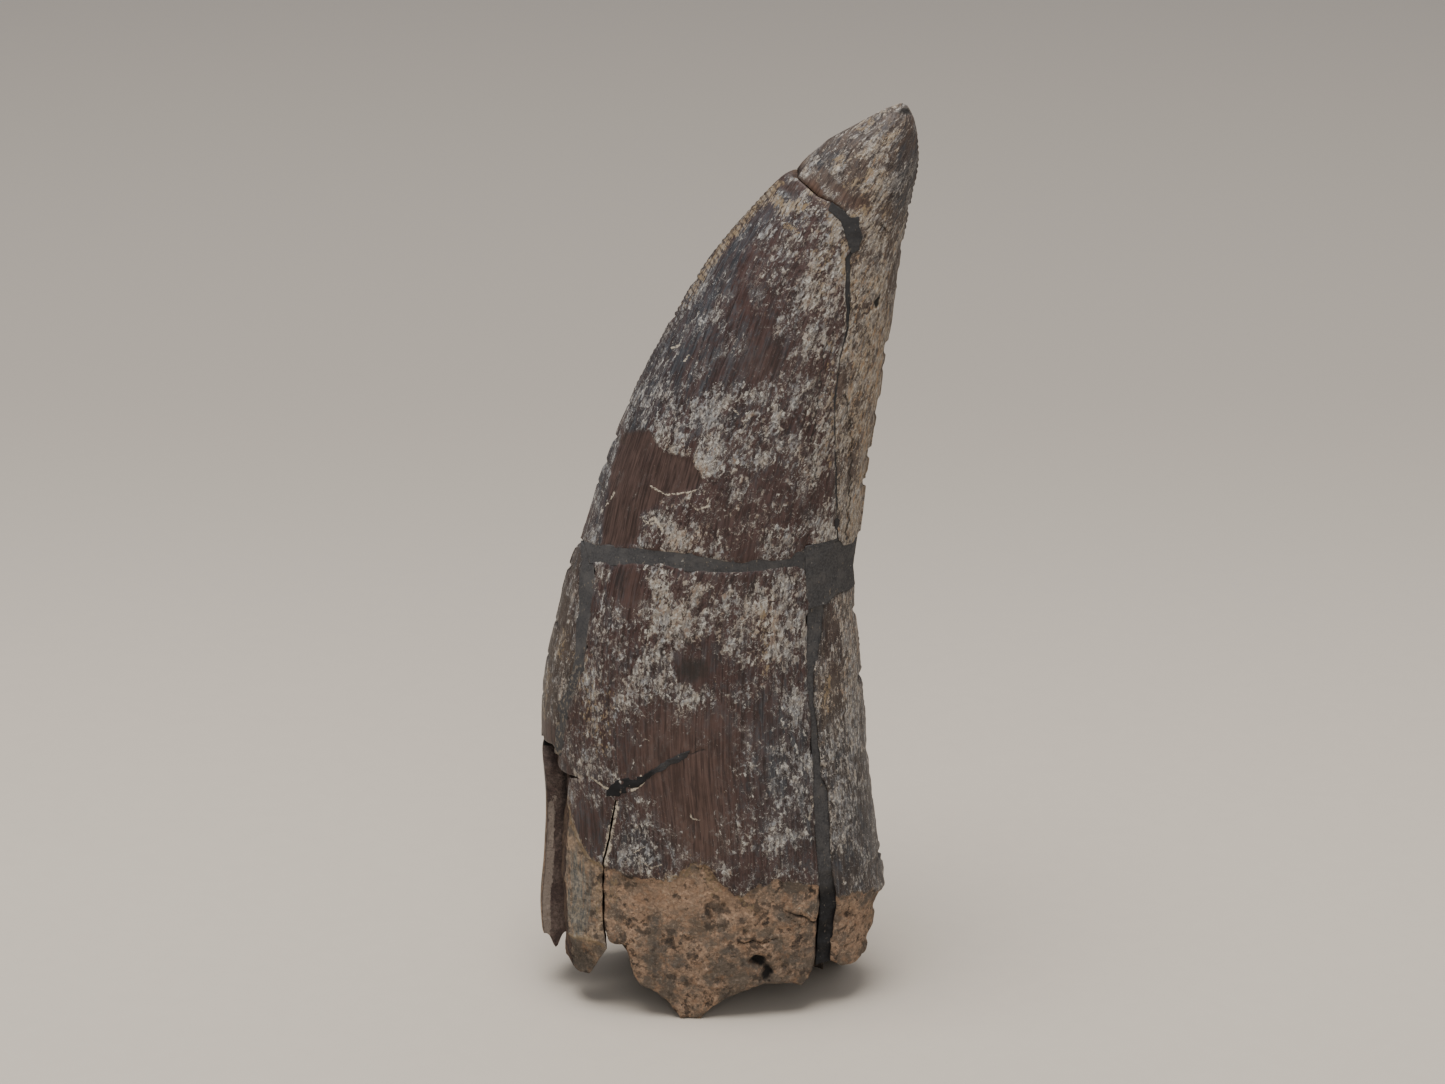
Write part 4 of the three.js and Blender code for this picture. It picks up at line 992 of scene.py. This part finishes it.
def faceRelief(grid, s, side):
    # how far the surface lies under the envelope: broken edges rounded off, bone lower than enamel, and noise
    points, r = grid.reshape(-1, 3), relief
    x, z = points[:, 0], points[:, 2]
    bloom, _, bare, bone = (tongueFields if side else cheekFields)(x, z, points)
    near = nearest(x, z, s.get("farBreaks", s["breaks"]) if side else s["breaks"])
    tight = nearest(x, z, s["tight"])
    chips = roughField(points, (1.3, 1.3, 1.3), 3, 5)
    lumps = roughField(points, (2.4, 2.4, 2.4), 5, 13)
    depth = (
        r["rounding"] * np.exp(-near / r["roundingReach"])
        + r["chips"] * smoothStep(0.15, 0.6, chips) * np.exp(-near / r["chipReach"])
        + r["tightRounding"] * np.exp(-tight / r["tightReach"])
        + r["tightChips"] * smoothStep(0.2, 0.6, chips) * np.exp(-tight / r["tightChipReach"])
        + r["waves"] * (1 + roughField(points, (3.2, 3.2, 6.0), 3, 7))
        + r["ripples"] * roughField(points, (0.8, 0.8, 1.1), 3, 9)
        + r["bare"] * np.clip(bare, 0, 1) - r["bloom"] * np.clip(bloom, 0, 1)
        + bone * (r["bone"] + r["boneLumps"] * lumps + r["boneHollows"] * smoothStep(0.2, 0.6, -lumps))
        + bone * r["boneGrain"] * roughField(points, (0.9, 0.9, 0.9), 3, 19)
    )
    if not side:
        depth = depth + cutFineCracks(x, z)[0]
    return depth.reshape(grid.shape[:2])


def splitShares(line, shares):
    # a side may be one line, or several (line, span) parts that each take a share of the rows
    if not isinstance(line, dict):
        return [(line, shares)]
    out, low = [], 0.0
    for part, span in line["parts"]:
        high = low + span
        last = part is line["parts"][-1][0]
        picked = shares[(shares >= low - 1e-9) & ((shares < high - 1e-9) | last)]
        out.append((part, (picked - low) / span))
        low = high
    return out


thinEdge = 0.12


def tongueSkin(x, z):
    return np.maximum(skinDepth(x, z), thinEdge)


def cheekSkin(x, z):
    return -tongueSkin(x, z)


blockRim = dict(fineLayers=6, coarseLayers=14, rimRoughness=0.12)
blockDefaults = dict(ease=(1, 1), acrossWeight=1.0, raggedness=0.12, tight=(), denticles=[None], innerWaves=0.12,
                     frontSkin=True, backIsSkin=True, frontY=cheekSkin, backY=tongueSkin)


def buildBlock(s):
    # s gives the four sides of the cheek face and, where they differ, of the far face, plus how deep each face lies
    s = dict(blockDefaults, **s)
    rows, columns = s["rows"] // 2 * 2 + 1, s["columns"] // 2 * 2 + 1
    upShares, acrossShares = easedShares(rows, 1, 1), easedShares(columns, *s["ease"])

    def gridOf(sides):
        made = {}
        for k, (key, line) in enumerate(sides.items()):
            shares = upShares if key in ("left", "right") else acrossShares
            points = np.concatenate([spreadAlong(part, span, s["acrossWeight"]) for part, span in
                                     splitShares(line, shares)])
            if key in s["ragged"]:
                points = raggedLine(points, s["raggedness"], (1.1, 1, 1), s["seed"] + k)
            if key == s["denticles"][0]:
                points = serratedLine(points, *s["denticles"][1:])
            made[key] = points
        return fillSides(made)

    flat = gridOf(s["cheek"])
    farFlat = gridOf(s["far"]) if "far" in s else flat
    front, back = (np.stack([f[..., 0], depthOf(f[..., 0], f[..., 1]), f[..., 1]], -1) for f, depthOf in
                   ((flat, s["frontY"]), (farFlat, s["backY"])))
    if s["frontSkin"]:
        front = wornBack(front - skinNormals(front, -1.0) * faceRelief(front, s, 0)[..., None])
    if s["backIsSkin"]:
        back = wornBack(back - skinNormals(back, 1.0) * faceRelief(back, s, 1)[..., None])
    else:
        back[..., 1] += s["innerWaves"] * roughField(back, (2.5, 2.5, 4), 3, 23)
    points, faces, inner, side = closedBlock(front, back, seed=s["seed"], **blockRim)
    points[:, 2] = np.maximum(points[:, 2], 0.0)
    dressPiece(s, points, faces, inner, side)


def edgeLine(edgeX, zFrom, zTo, count=200):
    z = np.linspace(zFrom, zTo, count)
    return np.stack([edgeX(z), z], -1)


# Chips out of the two thin edges, as (z, half height, depth).
edgeChips = dict(
    mesial=[(57.0, 0.25, 0.35), (60.4, 0.18, 0.25), (52.5, 0.2, 0.2), (72.6, 0.25, 0.2), (44.0, 0.3, 0.25),
            (38.5, 0.25, 0.35), (35.0, 0.3, 0.25), (31.0, 0.3, 0.2), (85.4, 0.2, 0.15), (69.0, 0.2, 0.2),
            (54.6, 0.3, 0.2)],
    distal=[(79.6, 0.35, 0.18), (76.0, 0.5, 0.12), (73.0, 0.8, 0.12), (66.0, 0.6, 0.25), (60.2, 0.9, 0.2),
            (55.6, 0.5, 0.25), (52.6, 0.3, 0.35), (39.6, 0.5, 0.25), (33.0, 0.5, 0.35), (25.0, 0.5, 0.2),
            (14.4, 0.3, 0.3), (20.0, 0.4, 0.2)],
)
edgeWear = dict(least=0.03, waves=0.07, nicks=0.12, reach=0.6)


def wornBack(grid):
    # pulls the two thin edges inwards by noise and chips, without changing the thickness there
    x, z = grid[..., 0], grid[..., 2]
    shift = 0 * x
    for way, edgeX, chips in ((1, mesialX, edgeChips["mesial"]), (-1, distalX, edgeChips["distal"])):
        spots = np.stack([9.0 * way + 0 * z, 0 * z, z], -1)
        worn = edgeWear["least"] + edgeWear["waves"] * np.maximum(roughField(spots, (1, 1, 2.2), 4, 45), -0.4)
        worn = worn + edgeWear["nicks"] * smoothStep(0.2, 0.5, roughField(spots, (1, 1, 1.2), 2, 47))
        for chipZ, halfHeight, depth in chips:
            worn = worn + depth * smoothStep(1.3, 0.7, np.abs(z - chipZ) / halfHeight)
        shift = shift + way * worn * np.exp(-np.maximum(way * (x - edgeX(z)), 0) / edgeWear["reach"])
    return grid + (shift * smoothStep(88.8, 87.0, z))[..., None] * np.array([1, 0, 0])


print("fragments")

crownTopEdge = [[4.9, 82.3], [5.5, 82.75]] + tipCrack[:7:-1]
flankFoot = [[-17.9, 26.4], [-17.0, 26.8], [-16.3, 26.5]]
slabFoot = [[10.7, 5.2], [11.9, 4.2], [13.1, 4.0], [14.1, 4.4]]
slabHead = [[9.7, 42.1], [10.7, 42.9], [12.5, 42.3]]

buildBlock(dict(
    name="upper_crown_enamel", node="upper_crown", slot="dark_enamel", material=darkEnamel,
    rows=250, columns=170, ease=(1.5, 1), seed=3,
    cheek=dict(left=edgeLine(mesialX, 47.0, 82.3),
               right=beside(tipCrack[:9], [-0.04] * 4 + [-0.1, -0.12, -0.42, -0.42, -0.1]),
               bottom=seamTop, top=crownTopEdge),
    ragged=("bottom", "top", "right"), raggedness=0.14, breaks=[seamTop], tight=[tipCrack],
    denticles=("left", -1, 61.0, 82.5),
))

buildBlock(dict(
    name="tip_fragment_enamel", node="tip_fragment", slot="tip_enamel", material=tipEnamel,
    rows=330, columns=64, ease=(1, 1.5), seed=5,
    cheek=dict(left=beside(tipCrack, 0.06), right=edgeLine(distalX, 47.7, crownTop),
               bottom=[[10.9, 48.2], [11.3, 47.4], [12.3, 47.1], [13.1, 47.7]],
               top=np.concatenate([[[6.85, 83.1], [7.1, 83.5], [7.65, 84.2], [8.3, 84.9], [9.0, 85.6]],
                                   edgeLine(mesialX, 86.1, crownTop)])),
    ragged=("left", "bottom"), breaks=[], tight=[tipCrack], denticles=("right", 1, 76.0, 87.5),
))

buildBlock(dict(
    name="lower_crown_cheek", node="lower_crown", slot="mottled_enamel", material=mottledEnamel,
    rows=300, columns=150, seed=7, backIsSkin=False, acrossWeight=0.5,
    cheek=dict(left=np.concatenate([plateSide, plateTop[1:], flankSlotCrown[1:]]), right=slotMesialWall,
               bottom=rootBottom, top=seamBottom),
    ragged=("bottom", "top", "right", "left"), raggedness=0.14,
    breaks=[seamBottom, slotMesialWall, rootBottom, flankSlotCrown], tight=[plateSide, plateTop],
    backY=lambda x, z: -cavityDepth(x, z),
))

buildBlock(dict(
    name="lower_crown_tongue", node="lower_crown", slot="mottled_enamel", material=mottledEnamel,
    rows=260, columns=130, seed=9, frontSkin=False,
    cheek=dict(left=mesialBackCrack, right=slabBackCrack,
               bottom=[[-12.9, 4.4], [-11.0, 3.0], [-9.7, 1.0], [-8.8, 0.0], [-6.6, 0.0], [-5.6, 1.7], [-2.0, 3.0],
                       [2.0, 2.3], [5.4, 1.5], [7.2, 0.0], [9.9, 0.0]],
               top=seamBottom[:-1] + [[9.0, 45.6]]),
    ragged=("bottom", "top", "right", "left"), raggedness=0.14,
    breaks=[seamBottom, slabBackCrack, mesialBackCrack],
    frontY=lambda x, z: np.maximum(cavityDepth(x, z), 0.02),
))

buildBlock(dict(
    name="mesial_flank_enamel", node="mesial_flank", slot="flank_enamel", material=flankEnamel,
    rows=150, columns=40, ease=(1.5, 1), seed=11,
    cheek=dict(left=edgeLine(mesialX, 26.4, 45.9), right=beside(flankSlotFlank, -0.1),
               bottom=flankFoot, top=[[-14.5, 45.9], [-13.6, 46.6]]),
    far=dict(left=edgeLine(mesialX, 26.4, 45.9), right=beside(mesialBackCrack[3:], -0.2),
             bottom=[[-17.9, 26.4], [-17.0, 26.6], [-15.6, 25.9], [-13.3, 25.6]], top=[[-14.5, 45.9], [-13.1, 45.9]]),
    ragged=("bottom", "right"), breaks=[flankSlotFlank, flankFoot], farBreaks=[mesialBackCrack],
))

buildBlock(dict(
    name="mesial_plate_enamel", node="mesial_plate", slot="plate_enamel", material=plateEnamel,
    rows=160, columns=50, seed=13, backIsSkin=False,
    cheek=dict(left=[[-15.7, 4.2], [-15.7, 7.0], [-15.8, 8.5], [-16.0, 13.2], [-15.9, 17.0], [-15.4, 21.1],
                     [-15.3, 24.0]],
               right=[[-11.6, 7.1], [-12.0, 9.2], [-12.1, 11.0], [-12.05, 14.7], [-11.75, 16.8], [-11.25, 19.2],
                      [-10.85, 21.6], [-10.5, 23.3]],
               bottom=[[-15.7, 4.2], [-14.7, 3.5], [-13.7, 3.6], [-12.8, 5.2], [-11.6, 7.1]],
               top=[[-15.3, 24.2], [-14.2, 24.5], [-13.0, 24.6], [-11.9, 23.9], [-11.2, 23.6], [-10.5, 23.3]]),
    ragged=("bottom", "right", "left", "top"),
    breaks=[[[-15.7, 4.2], [-15.7, 7.0], [-15.8, 8.5], [-16.0, 13.2], [-15.9, 17.0], [-15.3, 24.0]]],
    tight=[plateSide, plateTop],
    backY=lambda x, z: -np.maximum(cavityDepth(x, z), 2.2),
))

buildBlock(dict(
    name="distal_slab_enamel", node="distal_slab", slot="slab_enamel", material=slabEnamel,
    rows=280, columns=48, ease=(1, 1.5), seed=15,
    cheek=dict(left=slotDistalWall,
               right=dict(parts=[([[14.1, 4.4], [14.5, 5.4], [14.4, 6.2], [15.1, 6.9], [15.3, 7.9], [15.0, 8.9],
                                   [15.2, 10.6], [15.8, 11.0], [15.7, 12.4]], 0.22),
                                 (edgeLine(distalX, 12.5, 42.3), 0.78)]),
               bottom=slabFoot, top=slabHead),
    far=dict(left=beside(slabBackCrack, 0.2),
             right=dict(parts=[([[12.2, 0.0], [13.4, 1.9], [14.2, 4.4], [15.0, 8.5], [15.8, 12.4]], 0.22),
                               (edgeLine(distalX, 12.5, 42.3), 0.78)]),
             bottom=[[10.1, 0.0], [12.2, 0.0]], top=[[9.2, 45.4], [12.5, 42.3]]),
    ragged=("bottom", "left", "top", "right"), breaks=[slotDistalWall, slabFoot, slabHead],
    farBreaks=[slabBackCrack], denticles=("right", 1, 29.0, 38.0),
))


# foot and top are heights along the wall from its cut edge, as shares of its length and z.
wallShell = dict(
    rows=141, columns=91, seed=17, fineLayers=6, coarseLayers=14, rimRoughness=0.15, startAngle=-0.155,
    foot=([0, 0.08, 0.13, 0.22, 0.4, 1], [6.1, 6.3, 8.0, 8.0, 6.2, 4.5]),
    top=([0, 0.12, 0.3, 1], [23.8, 24.8, 25.6, 25.4]),
    waves=0.06, behindCrack=0.2, spikeX=-16.7, spikeWidth=0.5, spikeDrop=1.7,
    # from outline on, these values set painted shade on the cut edge and on the hidden faces above it
    strip=(0.34, 0.22), stripEnds=(24, 18), outline=(0.10, 0.02), shadeRises=(14, 22), dirt=0.8,
    hiddenShadeRises=(20.5, 23), hiddenShade=0.9,
)


def wallMarksAndShade(points, side):
    # the cut edge: pale enamel outside, dark dentine within; painted shade darkens its top, outer edge, inner side
    # and hidden faces
    s, y, z = wallShell, points[:, 1], points[:, 2]
    rim = (side > 0.02) & (side < 0.98) & (y < 0.5)
    wander = roughField(points, (0.9, 0.9, 2.6), 4, 81)
    strip = smoothStep(*s["strip"], side + 0.16 * wander) * smoothStep(*s["stripEnds"], z + 4 * wander)
    outline = smoothStep(*s["outline"], side + 0.05 * wander)
    dirt = np.maximum(smoothStep(*s["shadeRises"], z + 2 * wander), outline) * s["dirt"]
    dirt = dirt * (0.4 + 0.6 * smoothStep(0.3, 0.5, side) + 0.3 * (z < 20))
    hiddenShade = s["hiddenShade"] * smoothStep(*s["hiddenShadeRises"], z) * (side > 0.02)
    return strip * (0.85 + 0.3 * wander) * rim, np.where(rim, 0.75 * dirt, hiddenShade)


def mesialWall(s):
    # The wall follows the section round the mesial edge: a grid of angle by height, outside and one wall inside.
    up, across = np.linspace(0, 1, s["rows"])[:, None], np.linspace(0, 1, s["columns"])[None, :]
    low, high = np.interp(across, *s["foot"]), np.interp(across, *s["top"])
    z = low + (high - low) * up
    crackX, crackZ = np.transpose(mesialBackCrack)
    backX = np.interp(z, crackZ, crackX) - s["behindCrack"]
    middle, half = (mesialX(z) + distalX(z)) / 2, (distalX(z) - mesialX(z)) / 2
    farAngle = np.arccos(np.clip((middle - backX) / half, -1, 1))
    angle = s["startAngle"] + (farAngle - s["startAngle"]) * across

    def ringAt(inset):
        u = -np.cos(angle)
        bulge = np.maximum(1 - np.abs(u) ** section["fullness"], 0) ** section["sharpness"]
        return np.stack([middle + (half - inset) * u, np.sign(angle) * (depthAt(z) - inset) * bulge, z], -1)

    # seen from outside, the angle runs from right to left, so the columns are turned round
    outer, insideFace = ringAt(0.0)[:, ::-1], ringAt(wallAt(z))[:, ::-1]
    outer[..., 0] += s["waves"] * (1 + roughField(outer, (3, 3, 6), 3, 7))
    points, faces, inner, side = closedBlock(outer, insideFace, s["fineLayers"], s["coarseLayers"],
                                              s["rimRoughness"], s["seed"])
    spike = bell(points[:, 0] - s["spikeX"], s["spikeWidth"]) * (points[:, 1] < 0)
    points[:, 2] -= s["spikeDrop"] * spike * smoothStep(9.5, 6.0, points[:, 2])
    side = np.where(side > 0.98, 1.0, np.where(side < 0.02, 0.0, side))
    dressPiece(dict(name="mesial_wall_shell", node="mesial_wall", slot="wall_dentine", material=wallDentine,
                    backIsSkin=False, marks=wallMarksAndShade), points, faces, inner, side)


mesialWall(wallShell)

print("putty")

# recess is how far a piece lies under the enamel's skin, and grit its fine roughness. The darkening is darker putty
# with painted shade in deep places, and dust pales it. The values that end in Low act only on the lower part of a
# piece.
puttyFinish = dict(ragged=0.06, waves=0.10, grit=0.04, darkeningAndShade=0.0, shadeFades=0.0, dust=0.12, dustLow=0.0, sunkLow=0.0,
                   fineLayers=2, coarseLayers=8, rimRoughness=0.02)


def puttyBlock(s):
    # a smooth filler body a little under the enamel's skin, slightly dished between its edges
    s = dict(puttyFinish, **s)
    made = {}
    for k, key in enumerate(("left", "right", "bottom", "top")):
        count = s["rows" if key in ("left", "right") else "columns"] // 2 * 2 + 1
        made[key] = raggedLine(spreadAlong(s[key], np.linspace(0, 1, count)), s["ragged"], (0.8, 1, 1), s["seed"] + k)
    flat = fillSides(made)
    x, z = flat[..., 0], flat[..., 1]
    spots = np.stack([x, 0 * x, z], -1)
    lie = s["recess"] + s["waves"] * roughField(spots, (1.8, 1, 1.8), 3, s["seed"])
    lie = lie + s["grit"] * roughField(spots, (0.7, 1, 0.7), 3, s["seed"])
    lie = lie + s["sunkLow"] * smoothStep(15.5, 12.0, z) * (0.7 + 0.5 * roughField(spots, (1.2, 1, 1.2), 3, 71))
    front = np.stack([x, -np.maximum(skinDepth(x, z) - lie, 0.1), z], -1)
    back = np.stack([x, s["backY"](x, z), z], -1)
    points, faces = closedBlock(front, back, s["fineLayers"], s["coarseLayers"], s["rimRoughness"], s["seed"])[:2]
    x, z = points[:, 0], points[:, 2]
    # darker putty and painted shade: darkest in the hollow end of the crack fill and deep in the sunk lower part
    darkeningAndShade = s["darkeningAndShade"] - s["shadeFades"] * smoothStep(-7.8, -6.2, x) + s["sunkLow"] * 0.7 * smoothStep(16.0, 11.5, z)
    dust = s["dust"] + s["dustLow"] * smoothStep(40, 34, z)
    values = dict(soil=np.stack([darkeningAndShade * 0.9, dust, 0 * dust], -1))
    addPiece(s["name"], points, faces, values, darkPutty, s["node"])


puttyBlock(dict(
    name="putty_seam", node="seam_putty", rows=24, columns=180, recess=0.22, seed=51, darkeningAndShade=0.36,
    left=[[-12.9, 45.6], [-13.5, 47.1]], right=[[8.2, 45.7], [8.4, 48.4]],
    bottom=[[-12.9, 45.6], [-8.6, 46.5], [-5.9, 46.8], [-2.8, 46.3], [0.6, 46.1], [3.1, 46.2], [5.7, 46.3],
            [8.2, 45.7]],
    top=[[-13.5, 47.1], [-11.8, 47.7], [-7.8, 48.4], [-4.8, 48.4], [-1.3, 48.0], [1.8, 47.5], [5.6, 47.7],
         [8.4, 48.4]],
    backY=lambda x, z: np.maximum(skinDepth(x, z) - 0.35, 0.1),
))

puttyBlock(dict(
    name="putty_distal_rib", node="seam_putty", rows=300, columns=16, recess=0.5, seed=53, sunkLow=1.0,
    left=[[8.9, 4.8], [9.3, 11.9], [9.0, 15.6], [8.5, 22.8], [8.4, 26.9], [8.2, 30.9], [7.8, 35.0], [7.8, 39.0],
          [7.9, 42.9], [7.6, 48.3]],
    right=[[10.8, 5.0], [11.4, 11.3], [10.7, 14.7], [10.5, 17.9], [10.2, 23.4], [9.6, 24.8], [9.3, 27.8],
           [9.1, 30.6], [8.9, 32.5], [8.9, 35.9], [9.6, 38.6], [9.9, 42.3]],
    bottom=[[8.9, 4.8], [10.8, 5.0]], top=[[7.6, 48.3], [9.9, 42.3]],
    backY=lambda x, z: -np.maximum(cavityDepth(x, z), 0.5),
))

puttyBlock(dict(
    name="putty_distal_fill", node="seam_putty", rows=60, columns=50, recess=0.14, seed=55,
    left=[[7.8, 42.0], [7.6, 48.4]], right=[[12.6, 42.2], [12.35, 44.5], [12.75, 47.3]],
    bottom=[[7.8, 42.0], [9.8, 42.0], [10.8, 42.7], [12.6, 42.2]], top=[[7.6, 48.4], [11.0, 48.4], [12.75, 47.3]],
    backY=lambda x, z: np.maximum(skinDepth(x, z) - 0.2, 0.1),
))

puttyBlock(dict(
    name="putty_flank_rib", node="seam_putty", rows=150, columns=12, recess=0.25, seed=57, darkeningAndShade=0.36, dustLow=0.30,
    left=[[-16.5, 26.2], [-16.1, 31.5], [-15.3, 33.2], [-14.6, 35.9], [-14.3, 38.3], [-14.0, 42.1], [-13.8, 46.8]],
    right=[[-15.8, 26.2], [-14.8, 32.0], [-13.5, 35.5], [-12.8, 40.4], [-12.4, 43.3], [-12.4, 46.8]],
    bottom=[[-16.5, 26.2], [-15.8, 26.2]], top=[[-13.8, 46.8], [-12.4, 46.8]],
    backY=lambda x, z: -np.maximum(cavityDepth(x, z), 0.5),
))

puttyBlock(dict(
    name="putty_crack_fill", node="crack_putty", rows=12, columns=60, recess=0.02, seed=59, ragged=0.2, grit=0.2,
    darkeningAndShade=1.0, shadeFades=0.45,
    left=[[-11.4, 23.4], [-11.3, 24.0]], right=[[-3.6, 28.0], [-3.3, 28.7]],
    bottom=[[-11.4, 23.4], [-10.2, 23.5], [-9.2, 24.2], [-7.9, 25.0], [-6.6, 26.2], [-5.1, 27.2], [-3.6, 28.0]],
    top=[[-11.3, 24.0], [-10.4, 25.1], [-8.9, 25.8], [-7.8, 25.9], [-6.0, 27.3], [-4.6, 28.2], [-3.3, 28.7]],
    backY=lambda x, z: -skinDepth(x, z) + 2.5,
))

puttyBlock(dict(
    name="putty_tip_fill", node="tip_putty", rows=16, columns=60, recess=-0.03, seed=61, ragged=0.2, grit=0.06,
    darkeningAndShade=0.55,
    left=[[9.6, 80.4], [9.9, 81.1]], right=[[11.8, 76.3], [12.5, 76.6]],
    bottom=[[9.6, 80.4], [10.7, 79.5], [11.1, 78.5], [11.5, 77.2], [11.8, 76.3]],
    top=[[9.9, 81.1], [11.1, 80.4], [11.7, 79.6], [12.4, 79.7], [12.4, 78.9], [12.8, 77.8], [12.5, 76.6]],
    backY=lambda x, z: -skinDepth(x, z) + 2.0,
))

puttyBlock(dict(
    name="putty_tip_line", node="tip_putty", rows=190, columns=8, recess=0.16, seed=63, grit=0.06, darkeningAndShade=0.55,
    left=[[10.5, 48.0], [10.3, 54.4], [10.1, 60.5], [10.15, 62.4], [10.55, 66.3], [11.2, 69.1], [11.15, 72.0],
          [11.0, 76.6]],
    right=[[11.1, 48.0], [10.9, 54.4], [10.7, 60.5], [10.7, 62.4], [11.1, 66.3], [11.9, 69.1], [12.05, 72.0],
           [12.2, 76.6]],
    bottom=[[10.5, 48.0], [11.1, 48.0]], top=[[11.0, 76.6], [12.2, 76.6]],
    backY=lambda x, z: -skinDepth(x, z) + 1.5,
))

print("stage and lights")
# near, middle and far are floor colours whose darkening away from the camera is painted shade
stage = dict(size=12.0, points=61, near=(0.567, 0.508, 0.434), middle=(0.408, 0.368, 0.321),
             far=(0.36, 0.328, 0.296), fibres=(0.40, 0.36, 0.32), roughness=0.9, air=(0.98, 0.98, 1.0),
             airStrength=0.42)
lights = [
    dict(name="overhead softbox", place=(-0.08, -0.16, 0.85), target=(0, 0, 0.03), size=0.55, power=9.0,
         colour=(1.0, 0.975, 0.94)),
    dict(name="front fill", place=(0.15, -0.9, 0.45), target=(0, 0, 0.04), size=0.6, power=1.6,
         colour=(1.0, 0.97, 0.94)),
]


def addStage(s):
    # a wide plain floor with painted shade: it gets a little darker away from the camera
    along = np.linspace(-s["size"], s["size"], s["points"])
    x, y = np.meshgrid(along, along)
    mesh = bpy.data.meshes.new("floor")
    mesh.from_pydata(np.stack([x, y, 0 * x], -1).reshape(-1, 3).tolist(), [],
                     gridQuads(s["points"], s["points"], 0, True).tolist())
    floor = bpy.data.objects.new("floor", mesh)
    scene.collection.objects.link(floor)
    material, n = newMaterial("pale floor")
    place = n.put("ShaderNodeTexCoord")["Object"]
    away = n.parts(place)[1]
    colour = n.cover(n.blend(n.ramp(away, 0.02, 0.22), s["near"], s["middle"]), (n.ramp(away, 0.2, 0.7), s["far"]),
                     (n.ramp(n.noise(place, 400.0, 3.0), 0.3, 0.7, 0.0, 0.06), s["fibres"]))
    n.surface({"Base Color": colour, "Roughness": s["roughness"]})
    mesh.materials.append(material)


def addAir(s):
    world = bpy.data.worlds.new("studio")
    scene.world = world
    world.use_nodes = True
    air = world.node_tree.nodes["Background"].inputs
    air["Color"].default_value, air["Strength"].default_value = (*s["air"], 1), s["airStrength"]


def addLight(s):
    data = bpy.data.lights.new(s["name"], "AREA")
    data.shape, data.size, data.energy, data.color = "DISK", s["size"], s["power"], s["colour"]
    lamp = bpy.data.objects.new(s["name"], data)
    lamp.location = s["place"]
    way = [t - p for t, p in zip(s["target"], s["place"])]
    lamp.rotation_euler = Vector(way).to_track_quat("-Z", "Y").to_euler()
    scene.collection.objects.link(lamp)


addStage(stage)
addAir(stage)
for light in lights:
    addLight(light)
